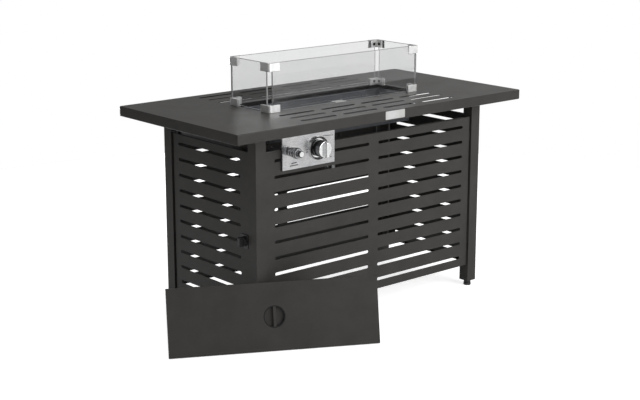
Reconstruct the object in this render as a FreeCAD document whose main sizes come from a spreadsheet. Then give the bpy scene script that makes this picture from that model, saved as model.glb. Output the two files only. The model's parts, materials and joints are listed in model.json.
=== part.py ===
import FreeCAD, Part
import math
import os
import Sketcher
from types import SimpleNamespace

# Fire pit table with a slatted steel base, a door at one end, a drop-in burner pan,
# a lift-off glass wind guard and a burner lid that leans against the front left post.
# X runs along the table, Y to the back and Z up. The origin is on the floor under the
# middle of the whole set, lid included, so the table stands at (table_x, table_y).
driving_sizes = {
    # whole table, and where it stands from the origin
    "table_x": 70.4, "table_y": 73.05,
    "top_length": 1092, "top_width": 560, "top_height": 620.5,
    "skirt_height": 29.5, "top_sheet": 1.5, "skirt_lip": 10,
    # ventilation slots of the tabletop
    "top_slot_length": 127, "top_slot_width": 14, "top_slot_step": 153.5,
    "top_row_first": 141, "top_row_step": 47.5,
    # burner opening, and the ring under it that carries the pan
    "opening_length": 578, "opening_width": 169, "ring_drop": 13, "ring_ledge": 12,
    # base frame
    "base_length": 873, "base_width": 432, "post_size": 35, "post_wall": 1.5,
    "post_bottom": 17.5, "rail_width": 25, "rail_thickness": 3,
    "stud_radius": 3, "stud_length": 11.5, "stud_hole": 3.5,
    "nut_flats": 10, "nut_height": 5, "washer_radius": 6, "washer_height": 1,
    # levelling feet
    "pad_radius": 11.5, "pad_height": 8, "collar_radius": 10.5, "thread_radius": 4,
    "thread_length": 34, "insert_height": 22, "waist_inset": 1.5, "waist_height": 1,
    # slatted panels
    "panel_bottom": 70.5, "panel_top": 544, "panel_sheet": 1.2, "panel_fold": 10,
    "panel_recess": 5.2, "panel_gap": 3.5,
    "slot_first": 100.8, "slot_step": 46, "slot_rows": 10, "slot_width": 9,
    "long_slot": 350, "long_slot_middle": 193.2, "end_slot": 292,
    "tab_width": 16, "tab_height": 30, "tab_sheet": 2, "tab_inset": 60,
    "screw_radius": 2, "screw_head": 4, "screw_hole": 2.15, "screw_length": 12,
    # door at the left end
    "door_recess": 4, "door_gap": 5, "door_front_gap": 4.5, "door_fold": 25, "door_hem": 8,
    "door_slot_shift": 5, "hinge_inset": 8, "hinge_depth": 8.5, "hinge_pin": 3, "hinge_hole": 3.05,
    "hinge_plate": 2.5, "hinge_space": 3, "hinge_leg": 26, "hinge_width": 24,
    "hinge_collar": 5,
    # play of holes round screws and shafts, and how far a cutting tool runs past a face
    "fit_gap": 0.1, "running_gap": 0.05, "hole_gap": 0.3, "overcut": 1,
    # twist latch of the door
    "latch_y": -159.5, "latch_z": 290, "latch_base_width": 34, "latch_base_height": 38,
    "latch_base_depth": 3, "latch_knob_radius": 14, "latch_disc": 7, "latch_grip": 13,
    "latch_grip_width": 9, "latch_grip_inset": 1, "latch_gap": 0.5, "latch_shaft": 4,
    "latch_base_round": 5, "latch_grip_round": 3,
    "cam_width": 12, "cam_reach": 17, "cam_sheet": 2.5, "cam_back": 11.5,
    "strike_leg": 20, "strike_lip": 13, "strike_sheet": 1.5,
    # control plate with its knob and igniter
    "plate_left": -344.5, "plate_width": 188.5, "plate_bottom": 484, "plate_top": 586,
    "plate_sheet": 1.2, "plate_depth": 6, "notch_inset": 3, "notch_bottom": 500,
    "valve_x": -218, "valve_z": 532.5, "valve_size": 38, "valve_back": 17, "valve_round": 3,
    "hub_radius": 7.5, "hub_proud": 0.5, "plug_depth": 40, "gas_bore": 3,
    "outlet_radius": 7, "outlet_proud": 7, "inlet_proud": 6,
    "igniter_x": -327, "igniter_z": 538.5,
    "bezel_radius": 33, "bezel_height": 7.5, "bezel_floor": 0.7, "knob_radius": 23.5, "knob_gap": 4,
    "knob_disc": 34, "knob_front": 44.5, "knob_grip_width": 10, "knob_press": 3,
    "stem_radius": 3, "stem_front": 25, "plug_radius": 5, "knob_grip_round": 3.5,
    "igniter_radius": 12.5, "igniter_flare": 1.5, "igniter_length": 49, "igniter_thread": 9,
    "igniter_rear": 36,
    "igniter_nut_flats": 24, "igniter_nut_height": 5,
    "button_radius": 9.5, "button_cap": 8.5, "button_gap": 4.5, "button_stem": 6, "button_reach": 20,
    # gas train
    "pipe_radius": 5, "pipe_wall": 1, "inlet_radius": 7.94, "inlet_length": 16,
    "inlet_nut_flats": 19, "inlet_nut_height": 8,
    "mixer_radius": 12, "mixer_bottom": 478, "nipple_radius": 7.5, "mixer_lock_flats": 20,
    "mixer_lock_height": 4, "mixer_floor": 12, "mixer_jet": 1.2, "window_width": 8,
    "window_height": 14, "window_rise": 18, "lead_radius": 1.5,
    # burner pan and burner
    "pan_depth": 80, "pan_sheet": 1.2, "pan_rim": 10, "pan_clearance": 1.5,
    "burner_radius": 10, "burner_wall": 1.2, "burner_length": 500, "burner_rise": 32,
    "port_radius": 1.5, "port_step": 24, "port_count": 20, "port_lean": 50,
    "saddle_width": 30, "saddle_sheet": 2, "saddle_foot": 16,
    "cage_x": 27, "cage_y": -26, "cage_length": 42, "cage_width": 30, "cage_sheet": 0.8,
    "cage_top_drop": 10.5, "cage_frame": 6, "cage_rows": 3, "cage_row_first": 14,
    "cage_row_step": 18, "cage_row_height": 8,
    "probe_radius": 3, "probe_drop": 4, "ceramic_length": 44, "wire_radius": 1, "wire_length": 18,
    "stalk_length": 40, "tip_radius": 1.5, "tip_length": 16,
    # bare name plate on the skirt
    "badge_left": -20, "badge_width": 75, "badge_bottom": 595, "badge_height": 24, "badge_sheet": 0.8,
    "badge_round": 2,
    # glass wind guard, which stands a few millimetres off the middle
    "guard_x": -3.5, "guard_y": -3.5, "guard_length": 580, "guard_width": 186,
    "glass": 5, "glass_height": 137, "glass_lift": 3.5, "glass_round": 0.6,
    "long_near_end": 4.5, "long_far_end": 15, "side_near_end": 10, "side_far_end": 16,
    "bracket_leg": 40, "bracket_low": 21, "bracket_high": 24, "bracket_wall": 3.5, "bracket_floor": 3,
    "bracket_round": 8, "clamp_chamfer": 6, "clamp_depth": 4, "clamp_gap": 1,
    "angle_clamp_height": 16, "plate_clamp_height": 22, "plate_clamp_start": 12, "plate_clamp_length": 23,
    "guard_screw_radius": 4.5, "guard_screw_head": 2, "guard_screw_at": 23.5,
    # burner lid, leaning against the front left post
    "lid_length": 589, "lid_height": 189.5, "lid_fold": 12, "lid_sheet": 1.2,
    "lid_turn": -28.2, "lid_lean": 13.8, "lid_gap": 1.3, "lid_along": -535.4,
    "cup_radius": 29.3, "cup_depth": 11, "cup_sheet": 1, "grip_width": 8,
}

doc = FreeCAD.newDocument("FirePitTable")
sheet = doc.addObject("Spreadsheet::Sheet", "Sheet")


# A size keeps the sheet expression and its number together, so that a sketch
# can be drawn near its final shape and then be bound to the sheet.
class Size:
    def __init__(self, text, number):
        self.text = text
        self.number = number

    def join(self, other, sign):
        other = as_size(other)
        results = {
            "+": self.number + other.number,
            "-": self.number - other.number,
            "*": self.number * other.number,
            "/": self.number / other.number if sign == "/" else 0,
        }
        return Size(f"({self.text} {sign} {other.text})", results[sign])

    def __add__(self, other):
        return self.join(other, "+")

    def __radd__(self, other):
        return as_size(other).join(self, "+")

    def __sub__(self, other):
        return self.join(other, "-")

    def __rsub__(self, other):
        return as_size(other).join(self, "-")

    def __mul__(self, other):
        return self.join(other, "*")

    def __rmul__(self, other):
        return as_size(other).join(self, "*")

    def __truediv__(self, other):
        return self.join(other, "/")

    def __neg__(self):
        return as_size(0).join(self, "-")


def as_size(value):
    return value if isinstance(value, Size) else Size(repr(value), value)


def fill_sheet(values):
    sizes = SimpleNamespace()
    for row, (alias, value) in enumerate(values.items(), start=1):
        sheet.set(f"A{row}", alias)
        sheet.set(f"B{row}", str(value))
        sheet.setAlias(f"B{row}", alias)
        setattr(sizes, alias, Size(f"Sheet.{alias}", value))
    return sizes


s = fill_sheet(driving_sizes)
doc.recompute()

half_length = s.top_length / 2
half_width = s.top_width / 2
base_x = s.base_length / 2
base_y = s.base_width / 2
under_top = s.top_height - s.top_sheet
skirt_bottom = s.top_height - s.skirt_height
post_x = base_x - s.post_size / 2
post_y = base_y - s.post_size / 2
inner_x = base_x - s.post_size
inner_y = base_y - s.post_size
panel_face_y = base_y - s.panel_recess
panel_face_x = base_x - s.panel_recess
panel_back_y = panel_face_y - s.panel_sheet
panel_back_x = panel_face_x - s.panel_sheet
tab_heights = (s.panel_bottom + s.tab_inset, s.panel_top - s.tab_inset)
sides = (("left", -1), ("right", 1))
ends = (("front", -1), ("rear", 1))
finished = []


def bind(item, name, size):
    item.setExpression(name, as_size(size).text)


def bind_place(item, at):
    for axis, size in zip("xyz", at):
        bind(item, f"Placement.Base.{axis}", size)


def box(name, size, at):
    item = doc.addObject("Part::Box", name)
    for prop, length in zip(("Length", "Width", "Height"), size):
        bind(item, prop, length)
    bind_place(item, at)
    return item


# A cylinder or cone from its start point along +X, -X, +Y, -Y, +Z or -Z.
turns = {
    "z": FreeCAD.Rotation(),
    "-z": FreeCAD.Rotation(FreeCAD.Vector(1, 0, 0), 180),
    "x": FreeCAD.Rotation(FreeCAD.Vector(0, 1, 0), 90),
    "-x": FreeCAD.Rotation(FreeCAD.Vector(0, 1, 0), -90),
    "y": FreeCAD.Rotation(FreeCAD.Vector(1, 0, 0), -90),
    "-y": FreeCAD.Rotation(FreeCAD.Vector(1, 0, 0), 90),
}


def rod(name, radius, length, at, axis="z"):
    item = doc.addObject("Part::Cylinder", name)
    bind(item, "Radius", radius)
    bind(item, "Height", length)
    item.Placement.Rotation = turns[axis]
    bind_place(item, at)
    return item


def cone(name, radius_start, radius_end, length, at, axis="z"):
    item = doc.addObject("Part::Cone", name)
    bind(item, "Radius1", radius_start)
    bind(item, "Radius2", radius_end)
    bind(item, "Height", length)
    item.Placement.Rotation = turns[axis]
    bind_place(item, at)
    return item


def hexagon(name, flats, length, at, axis="z"):
    item = doc.addObject("Part::Prism", name)
    item.Polygon = 6
    bind(item, "Circumradius", as_size(flats) / round(math.sqrt(3), 6))
    bind(item, "Height", length)
    item.Placement.Rotation = turns[axis]
    bind_place(item, at)
    return item


def group(name, items):
    item = doc.addObject("Part::Compound", name)
    item.Links = items
    return item


def fuse(name, items):
    item = doc.addObject("Part::MultiFuse", name)
    item.Shapes = items
    item.Refine = True
    return item


def cut(name, base, tools):
    item = doc.addObject("Part::Cut", name)
    item.Base = base
    item.Tool = tools[0] if len(tools) == 1 else group(name + "_tools", tools)
    item.Refine = True
    return item


def fillet(name, base, radius, wanted):
    doc.recompute()
    item = doc.addObject("Part::Fillet", name)
    item.Base = base
    edges = enumerate(base.Shape.Edges, start=1)
    radius = as_size(radius).number
    item.Edges = [(number, radius, radius) for number, edge in edges if wanted(edge)]
    return item


# A finished sub-part gets its label and stands where the table stands.
def finish(item, label, at=(s.table_x, s.table_y, 0)):
    item.Label = label
    bind_place(item, at)
    finished.append(item)
    return item


def body(name):
    return doc.addObject("PartDesign::Body", name)


def sketch(owner, name, role, offset=0):
    plane = next(feature for feature in owner.Origin.OriginFeatures if feature.Role == role)
    item = owner.newObject("Sketcher::SketchObject", name)
    item.AttachmentSupport = [(plane, "")]
    item.MapMode = "FlatFace"
    bind(item, "AttachmentOffset.Base.z", offset)
    return item


def bind_constraint(item, kind, places, size):
    number = item.addConstraint(Sketcher.Constraint(kind, *places, as_size(size).number))
    item.renameConstraint(number, f"{kind}{number}")
    bind(item, f"Constraints.{kind}{number}", size)


origin_point = (-1, 1)


def draw_rectangle(item, x, y, width, height):
    x, y, width, height = (as_size(size) for size in (x, y, width, height))
    left, low = x.number, y.number
    right, high = left + width.number, low + height.number
    corners = [FreeCAD.Vector(*point) for point in ((left, low), (right, low), (right, high), (left, high))]
    lines = [item.addGeometry(Part.LineSegment(corners[i], corners[(i + 1) % 4])) for i in range(4)]
    for i in range(4):
        item.addConstraint(Sketcher.Constraint("Coincident", lines[i], 2, lines[(i + 1) % 4], 1))
        item.addConstraint(Sketcher.Constraint("Vertical" if i % 2 else "Horizontal", lines[i]))
    bind_constraint(item, "DistanceX", (*origin_point, lines[0], 1), x)
    bind_constraint(item, "DistanceY", (*origin_point, lines[0], 1), y)
    bind_constraint(item, "DistanceX", (lines[0], 1, lines[0], 2), width)
    bind_constraint(item, "DistanceY", (lines[1], 1, lines[1], 2), height)


# A slot with round ends, lying along the sketch's first axis.
def draw_slot(item, middle_x, middle_y, length, width):
    middle_x, middle_y, length, width = (as_size(size) for size in (middle_x, middle_y, length, width))
    radius = width.number / 2
    reach = (length.number - width.number) / 2
    left = FreeCAD.Vector(middle_x.number - reach, middle_y.number, 0)
    right = FreeCAD.Vector(middle_x.number + reach, middle_y.number, 0)
    up = FreeCAD.Vector(0, radius, 0)
    normal = FreeCAD.Vector(0, 0, 1)
    arc_left = Part.ArcOfCircle(Part.Circle(left, normal, radius), math.pi / 2, math.pi * 3 / 2)
    arc_right = Part.ArcOfCircle(Part.Circle(right, normal, radius), -math.pi / 2, math.pi / 2)
    round_left = item.addGeometry(arc_left)
    round_right = item.addGeometry(arc_right)
    low = item.addGeometry(Part.LineSegment(left - up, right - up))
    high = item.addGeometry(Part.LineSegment(right + up, left + up))
    for first, second in (((round_left, 2), (low, 1)), ((low, 2), (round_right, 1)),
                          ((round_right, 2), (high, 1)), ((high, 2), (round_left, 1))):
        item.addConstraint(Sketcher.Constraint("Tangent", *first, *second))
    item.addConstraint(Sketcher.Constraint("Horizontal", low))
    bind_constraint(item, "DistanceX", (round_left, 3, round_right, 3), length - width)
    bind_constraint(item, "DistanceX", (*origin_point, round_left, 3), middle_x - (length - width) / 2)
    bind_constraint(item, "DistanceY", (*origin_point, round_left, 3), middle_y)
    bind_constraint(item, "Radius", (round_left,), width / 2)


def draw_circle(item, x, y, radius):
    x, y, radius = (as_size(size) for size in (x, y, radius))
    centre = FreeCAD.Vector(x.number, y.number, 0)
    ring = item.addGeometry(Part.Circle(centre, FreeCAD.Vector(0, 0, 1), radius.number))
    bind_constraint(item, "DistanceX", (*origin_point, ring, 3), x)
    bind_constraint(item, "DistanceY", (*origin_point, ring, 3), y)
    bind_constraint(item, "Radius", (ring,), radius)


# A closed outline of straight sides, each corner bound to the sheet.
def draw_outline(item, points):
    points = [(as_size(x), as_size(y)) for x, y in points]
    corners = [FreeCAD.Vector(x.number, y.number, 0) for x, y in points]
    count = len(corners)
    lines = [item.addGeometry(Part.LineSegment(corners[i], corners[(i + 1) % count])) for i in range(count)]
    for i in range(count):
        item.addConstraint(Sketcher.Constraint("Coincident", lines[i], 2, lines[(i + 1) % count], 1))
        bind_constraint(item, "DistanceX", (*origin_point, lines[i], 1), points[i][0])
        bind_constraint(item, "DistanceY", (*origin_point, lines[i], 1), points[i][1])


def pad(owner, profile, length, reverse=False):
    item = owner.newObject("PartDesign::Pad", profile.Name + "_pad")
    item.Profile = profile
    item.Reversed = reverse
    bind(item, "Length", length)
    return item


def pocket(owner, profile, depth, reverse=False):
    item = owner.newObject("PartDesign::Pocket", profile.Name + "_pocket")
    item.Profile = profile
    item.Reversed = reverse
    bind(item, "Length", depth)
    return item


def repeat(owner, feature, profile, axis, length, count):
    item = owner.newObject("PartDesign::LinearPattern", feature.Name + "_row")
    item.Originals = [feature]
    item.Direction = (profile, [axis])
    bind(item, "Length", length)
    bind(item, "Occurrences", count)
    owner.Tip = item
    return item


def revolve(owner, profile, axis):
    item = owner.newObject("PartDesign::Revolution", profile.Name + "_turned")
    item.Profile = profile
    item.ReferenceAxis = (profile, [axis])
    item.Angle = 360
    return item


# Base frame

def make_post(end, end_sign, side, side_sign):
    name = f"post_{end}_{side}"
    tube = body(name + "_tube")
    outline = sketch(tube, name + "_outline", "XY_Plane", s.post_bottom)
    x = side_sign * post_x - s.post_size / 2
    y = end_sign * post_y - s.post_size / 2
    draw_rectangle(outline, x, y, s.post_size, s.post_size)
    bore = s.post_size - 2 * s.post_wall
    draw_rectangle(outline, x + s.post_wall, y + s.post_wall, bore, bore)
    pad(tube, outline, under_top - s.post_bottom)
    holes = []
    for z in tab_heights:
        through = s.post_wall + 2 * s.overcut
        start = (side_sign * (inner_x - s.overcut), end_sign * (panel_back_y - s.tab_width / 2), z)
        holes.append(rod(name + "_hole", s.screw_hole, through, start, along("x", side_sign)))
        if side == "right":
            start = (panel_back_x - s.tab_width / 2, end_sign * (inner_y - s.overcut), z)
            holes.append(rod(name + "_side_hole", s.screw_hole, through, start, along("y", end_sign)))
    finish(cut(name, tube, holes), name)


def make_rails():
    rail_z = under_top - s.rail_thickness
    for end, sign in ends:
        start = (-inner_x, sign * post_y - s.rail_width / 2, rail_z)
        bar = box(f"rail_{end}_bar", (2 * inner_x, s.rail_width, s.rail_thickness), start)
        holes = [rod(f"rail_{end}_hole", s.stud_hole, s.rail_thickness, (x, sign * post_y, rail_z))
                 for x in stud_places_long()]
        finish(cut(f"rail_{end}", bar, holes), f"rail_{end}")
    for side, sign in sides:
        start = (sign * post_x - s.rail_width / 2, -inner_y, rail_z)
        bar = box(f"rail_{side}_bar", (s.rail_width, 2 * inner_y, s.rail_thickness), start)
        holes = [rod(f"rail_{side}_hole", s.stud_hole, s.rail_thickness, (sign * post_x, y, rail_z))
                 for y in stud_places_short()]
        finish(cut(f"rail_{side}", bar, holes), f"rail_{side}")


def stud_places_long():
    return [inner_x * share for share in (-0.8, 0.8)]


def stud_places_short():
    return [inner_y * share for share in (-0.5, 0.5)]


def stud_places():
    long_rows = [(x, sign * post_y) for sign in (-1, 1) for x in stud_places_long()]
    short_rows = [(sign * post_x, y) for sign in (-1, 1) for y in stud_places_short()]
    return long_rows + short_rows


def make_foot(end, end_sign, side, side_sign):
    name = f"foot_{end}_{side}"
    x, y = side_sign * post_x, end_sign * post_y
    pad_disc = rod(name + "_pad", s.pad_radius, s.pad_height, (x, y, 0))
    waist = rod(name + "_waist", s.collar_radius - s.waist_inset, s.waist_height, (x, y, s.pad_height))
    collar_z = s.pad_height + s.waist_height
    collar = rod(name + "_collar", s.collar_radius, s.post_bottom - collar_z, (x, y, collar_z))
    thread = rod(name + "_thread", s.thread_radius, s.thread_length, (x, y, s.post_bottom))
    finish(fuse(name, [pad_disc, waist, collar, thread]), name)


def make_foot_inserts():
    inserts = []
    bore = s.post_size - 2 * s.post_wall
    for end, end_sign in ends:
        for side, side_sign in sides:
            name = f"insert_{end}_{side}"
            x, y = side_sign * post_x, end_sign * post_y
            corner = (x - bore / 2, y - bore / 2, s.post_bottom)
            block = box(name + "_block", (bore, bore, s.insert_height), corner)
            hole = rod(name + "_hole", s.thread_radius + s.running_gap, s.insert_height,
                       (x, y, s.post_bottom))
            inserts.append(cut(name, block, [hole]))
    finish(group("foot_inserts", inserts), "foot_inserts")


# Tabletop

def make_tabletop():
    top = body("tabletop_shell")
    outline = sketch(top, "tabletop_outline", "XY_Plane", skirt_bottom)
    draw_rectangle(outline, -half_length, -half_width, s.top_length, s.top_width)
    pad(top, outline, s.skirt_height)
    hollow = sketch(top, "tabletop_hollow", "XY_Plane", skirt_bottom + s.top_sheet)
    wall = s.top_sheet
    draw_rectangle(hollow, wall - half_length, wall - half_width,
                   s.top_length - 2 * wall, s.top_width - 2 * wall)
    pocket(top, hollow, s.skirt_height - 2 * s.top_sheet, reverse=True)
    mouth = sketch(top, "tabletop_mouth", "XY_Plane", skirt_bottom)
    draw_rectangle(mouth, s.skirt_lip - half_length, s.skirt_lip - half_width,
                   s.top_length - 2 * s.skirt_lip, s.top_width - 2 * s.skirt_lip)
    pocket(top, mouth, s.top_sheet, reverse=True)
    opening = sketch(top, "tabletop_opening", "XY_Plane", s.top_height)
    draw_rectangle(opening, -s.opening_length / 2, -s.opening_width / 2, s.opening_length, s.opening_width)
    pocket(top, opening, s.top_sheet)
    slots = sketch(top, "tabletop_slots", "XY_Plane", s.top_height)
    for sign in (-1, 1):
        for row in range(3):
            y = sign * (s.top_row_first + row * s.top_row_step)
            draw_slot(slots, -1.5 * s.top_slot_step, y, s.top_slot_length, s.top_slot_width)
    columns = pocket(top, slots, s.top_sheet)
    repeat(top, columns, slots, "H_Axis", 3 * s.top_slot_step, 4)
    studs = [rod("tabletop_stud", s.stud_radius, s.stud_length, (x, y, under_top), "-z")
             for x, y in stud_places()]
    finish(fuse("tabletop", [top] + studs), "tabletop")


def make_top_nuts():
    nuts = []
    for x, y in stud_places():
        z = under_top - s.rail_thickness
        nut = hexagon("top_nut_block", s.nut_flats, s.nut_height, (x, y, z), "-z")
        washer = rod("top_nut_washer", s.washer_radius, s.washer_height, (x, y, z), "-z")
        hole = rod("top_nut_hole", s.stud_radius + s.fit_gap, s.nut_height + s.overcut, (x, y, z), "-z")
        nuts.append(cut("top_nut", fuse("top_nut_solid", [nut, washer]), [hole]))
    finish(group("top_nuts", nuts), "top_nuts")


def make_burner_ring():
    length, width = s.opening_length, s.opening_width
    wall, ledge = s.top_sheet, s.ring_ledge
    low = under_top - s.ring_drop
    outer = box("ring_outer", (length + 2 * wall, width + 2 * wall, s.ring_drop),
                (-length / 2 - wall, -width / 2 - wall, low))
    upper = box("ring_upper", (length, width, s.ring_drop), (-length / 2, -width / 2, low + wall))
    middle = box("ring_middle", (length - 2 * ledge, width - 2 * ledge, s.ring_drop),
                 (ledge - length / 2, ledge - width / 2, low))
    finish(cut("burner_ring", outer, [upper, middle]), "burner_ring")


def make_badge():
    plate = box("badge_plate", (s.badge_width, s.badge_sheet, s.badge_height),
                (s.badge_left, -half_width - s.badge_sheet, s.badge_bottom))
    rounded = fillet("name_plate", plate, s.badge_round, lambda edge: is_along(edge, 1))
    finish(rounded, "name_plate")


def is_along(edge, axis):
    start, stop = edge.Vertexes[0].Point, edge.Vertexes[-1].Point
    moved = [abs(stop[i] - start[i]) for i in range(3)]
    return moved[axis] > 1e-6 and sum(moved) - moved[axis] < 1e-6


# Slatted panels

def start_panel(name, role, offset, reverse, first, width):
    owner = body(name + "_body")
    height = s.panel_top - s.panel_bottom
    face = sketch(owner, name + "_face", role, offset)
    draw_rectangle(face, first, s.panel_bottom, width, height)
    pad(owner, face, s.panel_sheet, reverse)
    folds = sketch(owner, name + "_folds", role, offset)
    draw_rectangle(folds, first, s.panel_bottom, width, s.panel_sheet)
    draw_rectangle(folds, first, s.panel_top - s.panel_sheet, width, s.panel_sheet)
    pad(owner, folds, s.panel_fold, reverse)
    return owner


def cut_slots(owner, name, role, offset, reverse, middles, length):
    rows = sketch(owner, name + "_slots", role, offset)
    for middle in middles:
        draw_slot(rows, middle, s.slot_first, length, s.slot_width)
    first_row = pocket(owner, rows, s.panel_sheet, not reverse)
    repeat(owner, first_row, rows, "V_Axis", (s.slot_rows - 1) * s.slot_step, s.slot_rows)


def make_long_panel(end, sign):
    name = f"{end}_panel"
    front = sign < 0
    offset = -sign * panel_face_y
    half = inner_x - s.panel_gap
    owner = start_panel(name, "XZ_Plane", offset, front, -half, 2 * half)
    middles = (-s.long_slot_middle, s.long_slot_middle)
    cut_slots(owner, name, "XZ_Plane", offset, front, middles, s.long_slot)
    if front:
        size = (s.plate_width - 2 * s.notch_inset, 2 * s.panel_fold, s.panel_top)
        notch = box("front_panel_notch", size,
                    (s.plate_left + s.notch_inset, -panel_face_y - s.overcut, s.notch_bottom))
        owner = cut(name, owner, [notch])
    finish(owner, name)


def make_right_panel():
    name = "right_panel"
    half = inner_y - s.panel_gap
    owner = start_panel(name, "YZ_Plane", panel_face_x, True, -half, 2 * half)
    cut_slots(owner, name, "YZ_Plane", panel_face_x, True, (0,), s.end_slot)
    finish(owner, name)


# A length measured outwards from a near face, on the side that the sign gives.
def sided(sign, near, length):
    return near if sign > 0 else -near - length


def along(axis, sign):
    return axis if sign > 0 else "-" + axis


def screw(start, axis, sign):
    shank = rod("screw_shank", s.screw_radius, s.screw_length, start, along(axis, sign))
    head = rod("screw_head", s.screw_head, s.screw_head / 2, start, along(axis, -sign))
    return fuse("screw", [shank, head])


# An angle tab joins a long panel to the post beside it: one leg on each.
def long_tab(side_sign, end_sign, z):
    low = z - s.tab_height / 2
    reach = s.tab_width + s.panel_gap
    y_near = panel_back_y - s.tab_width
    leg = box("tab_leg", (s.tab_sheet, s.tab_width, s.tab_height),
              (sided(side_sign, inner_x - s.tab_sheet, s.tab_sheet),
               sided(end_sign, y_near, s.tab_width), low))
    flat = box("tab_flat", (reach, s.tab_sheet, s.tab_height),
               (sided(side_sign, inner_x - reach, reach),
                sided(end_sign, panel_back_y - s.tab_sheet, s.tab_sheet), low))
    start = (side_sign * (inner_x - s.tab_sheet), end_sign * (panel_back_y - s.tab_width / 2), z)
    hole = rod("tab_hole", s.screw_hole, s.tab_sheet, start, along("x", side_sign))
    return cut("tab", fuse("tab_angle", [leg, flat]), [hole]), screw(start, "x", side_sign)


def side_tab(end_sign, z):
    low = z - s.tab_height / 2
    reach = s.tab_width + s.panel_gap
    x_near = panel_back_x - s.tab_width
    leg = box("tab_leg", (s.tab_width, s.tab_sheet, s.tab_height),
              (x_near, sided(end_sign, inner_y - s.tab_sheet, s.tab_sheet), low))
    flat = box("tab_flat", (s.tab_sheet, reach, s.tab_height),
               (panel_back_x - s.tab_sheet, sided(end_sign, inner_y - reach, reach), low))
    start = (panel_back_x - s.tab_width / 2, end_sign * (inner_y - s.tab_sheet), z)
    hole = rod("tab_hole", s.screw_hole, s.tab_sheet, start, along("y", end_sign))
    return cut("tab", fuse("tab_angle", [leg, flat]), [hole]), screw(start, "y", end_sign)


def make_tabs():
    pairs = []
    for z in tab_heights:
        for end, end_sign in ends:
            pairs += [long_tab(side_sign, end_sign, z) for side, side_sign in sides]
            pairs.append(side_tab(end_sign, z))
    finish(group("panel_tabs", [tab for tab, fastener in pairs]), "panel_tabs")
    finish(group("panel_screws", [fastener for tab, fastener in pairs]), "panel_screws")


# Door with its pivot pins and brackets

door_x = -(base_x - s.door_recess)
door_front = -(inner_y - s.door_front_gap)
door_rear = inner_y - s.door_gap
hinge_x = door_x + s.hinge_depth
hinge_y = door_rear - s.hinge_inset


def make_door():
    owner = body("door_body")
    width, height = door_rear - door_front, s.panel_top - s.panel_bottom
    face = sketch(owner, "door_face", "YZ_Plane", door_x)
    draw_rectangle(face, door_front, s.panel_bottom, width, height)
    pad(owner, face, s.panel_sheet)
    hems = sketch(owner, "door_hems", "YZ_Plane", door_x)
    draw_rectangle(hems, door_front, s.panel_bottom, s.panel_sheet, height)
    draw_rectangle(hems, door_rear - s.panel_sheet, s.panel_bottom, s.panel_sheet, height)
    pad(owner, hems, s.door_hem)
    for name, z in (("door_floor", s.panel_bottom), ("door_ceiling", s.panel_top - s.panel_sheet)):
        fold = sketch(owner, name, "XY_Plane", z)
        draw_outline(fold, (
            (door_x, door_front), (door_x + s.door_fold, door_front),
            (door_x + s.door_fold, hinge_y - s.hinge_pin), (hinge_x + 2 * s.hinge_pin, door_rear),
            (door_x, door_rear),
        ))
        pad(owner, fold, s.panel_sheet)
    cut_slots(owner, "door", "YZ_Plane", door_x, False, (s.door_slot_shift,), s.end_slot)
    latch_hole = rod("door_latch_hole", s.latch_shaft + s.hole_gap, 3 * s.panel_sheet,
                     (door_x - s.panel_sheet, s.latch_y, s.latch_z), "x")
    pin_hole = rod("door_pin_hole", s.hinge_pin, s.panel_top, (hinge_x, hinge_y, s.panel_bottom - s.overcut))
    finish(cut("door_panel", owner, [latch_hole, pin_hole]), "door_panel")


def make_hinges():
    reach = s.hinge_space + s.hinge_plate
    pin_length = reach + 2 * s.hinge_pin
    pins, brackets = [], []
    for name, edge, sign in (("lower", s.panel_bottom, -1), ("upper", s.panel_top, 1)):
        inside = edge - sign * s.hinge_pin
        pin = rod(name + "_pin", s.hinge_pin, pin_length, (hinge_x, hinge_y, inside), along("z", sign))
        if sign < 0:
            collar = rod("lower_collar", s.hinge_collar, s.hinge_space, (hinge_x, hinge_y, edge), "-z")
            pin = fuse("lower_hinge_pin", [pin, collar])
        pins.append(pin)
        plate_z = edge + sign * s.hinge_space
        plate_low = plate_z if sign > 0 else plate_z - s.hinge_plate
        leg_low = plate_low if sign > 0 else plate_low + s.hinge_plate - s.hinge_leg
        width_y = inner_y - hinge_y + s.hinge_width / 2
        plate = box(name + "_plate", (s.hinge_width, width_y, s.hinge_plate),
                    (hinge_x - s.hinge_width / 2, inner_y - width_y, plate_low))
        leg = box(name + "_leg", (s.hinge_width, s.hinge_plate, s.hinge_leg),
                  (hinge_x - s.hinge_width / 2, inner_y - s.hinge_plate, leg_low))
        hole = rod(name + "_hole", s.hinge_hole, 3 * s.hinge_plate,
                   (hinge_x, hinge_y, plate_z - sign * s.hinge_plate), along("z", sign))
        brackets.append(cut(name + "_bracket", fuse(name + "_angle", [plate, leg]), [hole]))
    finish(group("hinge_pins", pins), "hinge_pins")
    finish(group("hinge_brackets", brackets), "hinge_brackets")


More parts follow.
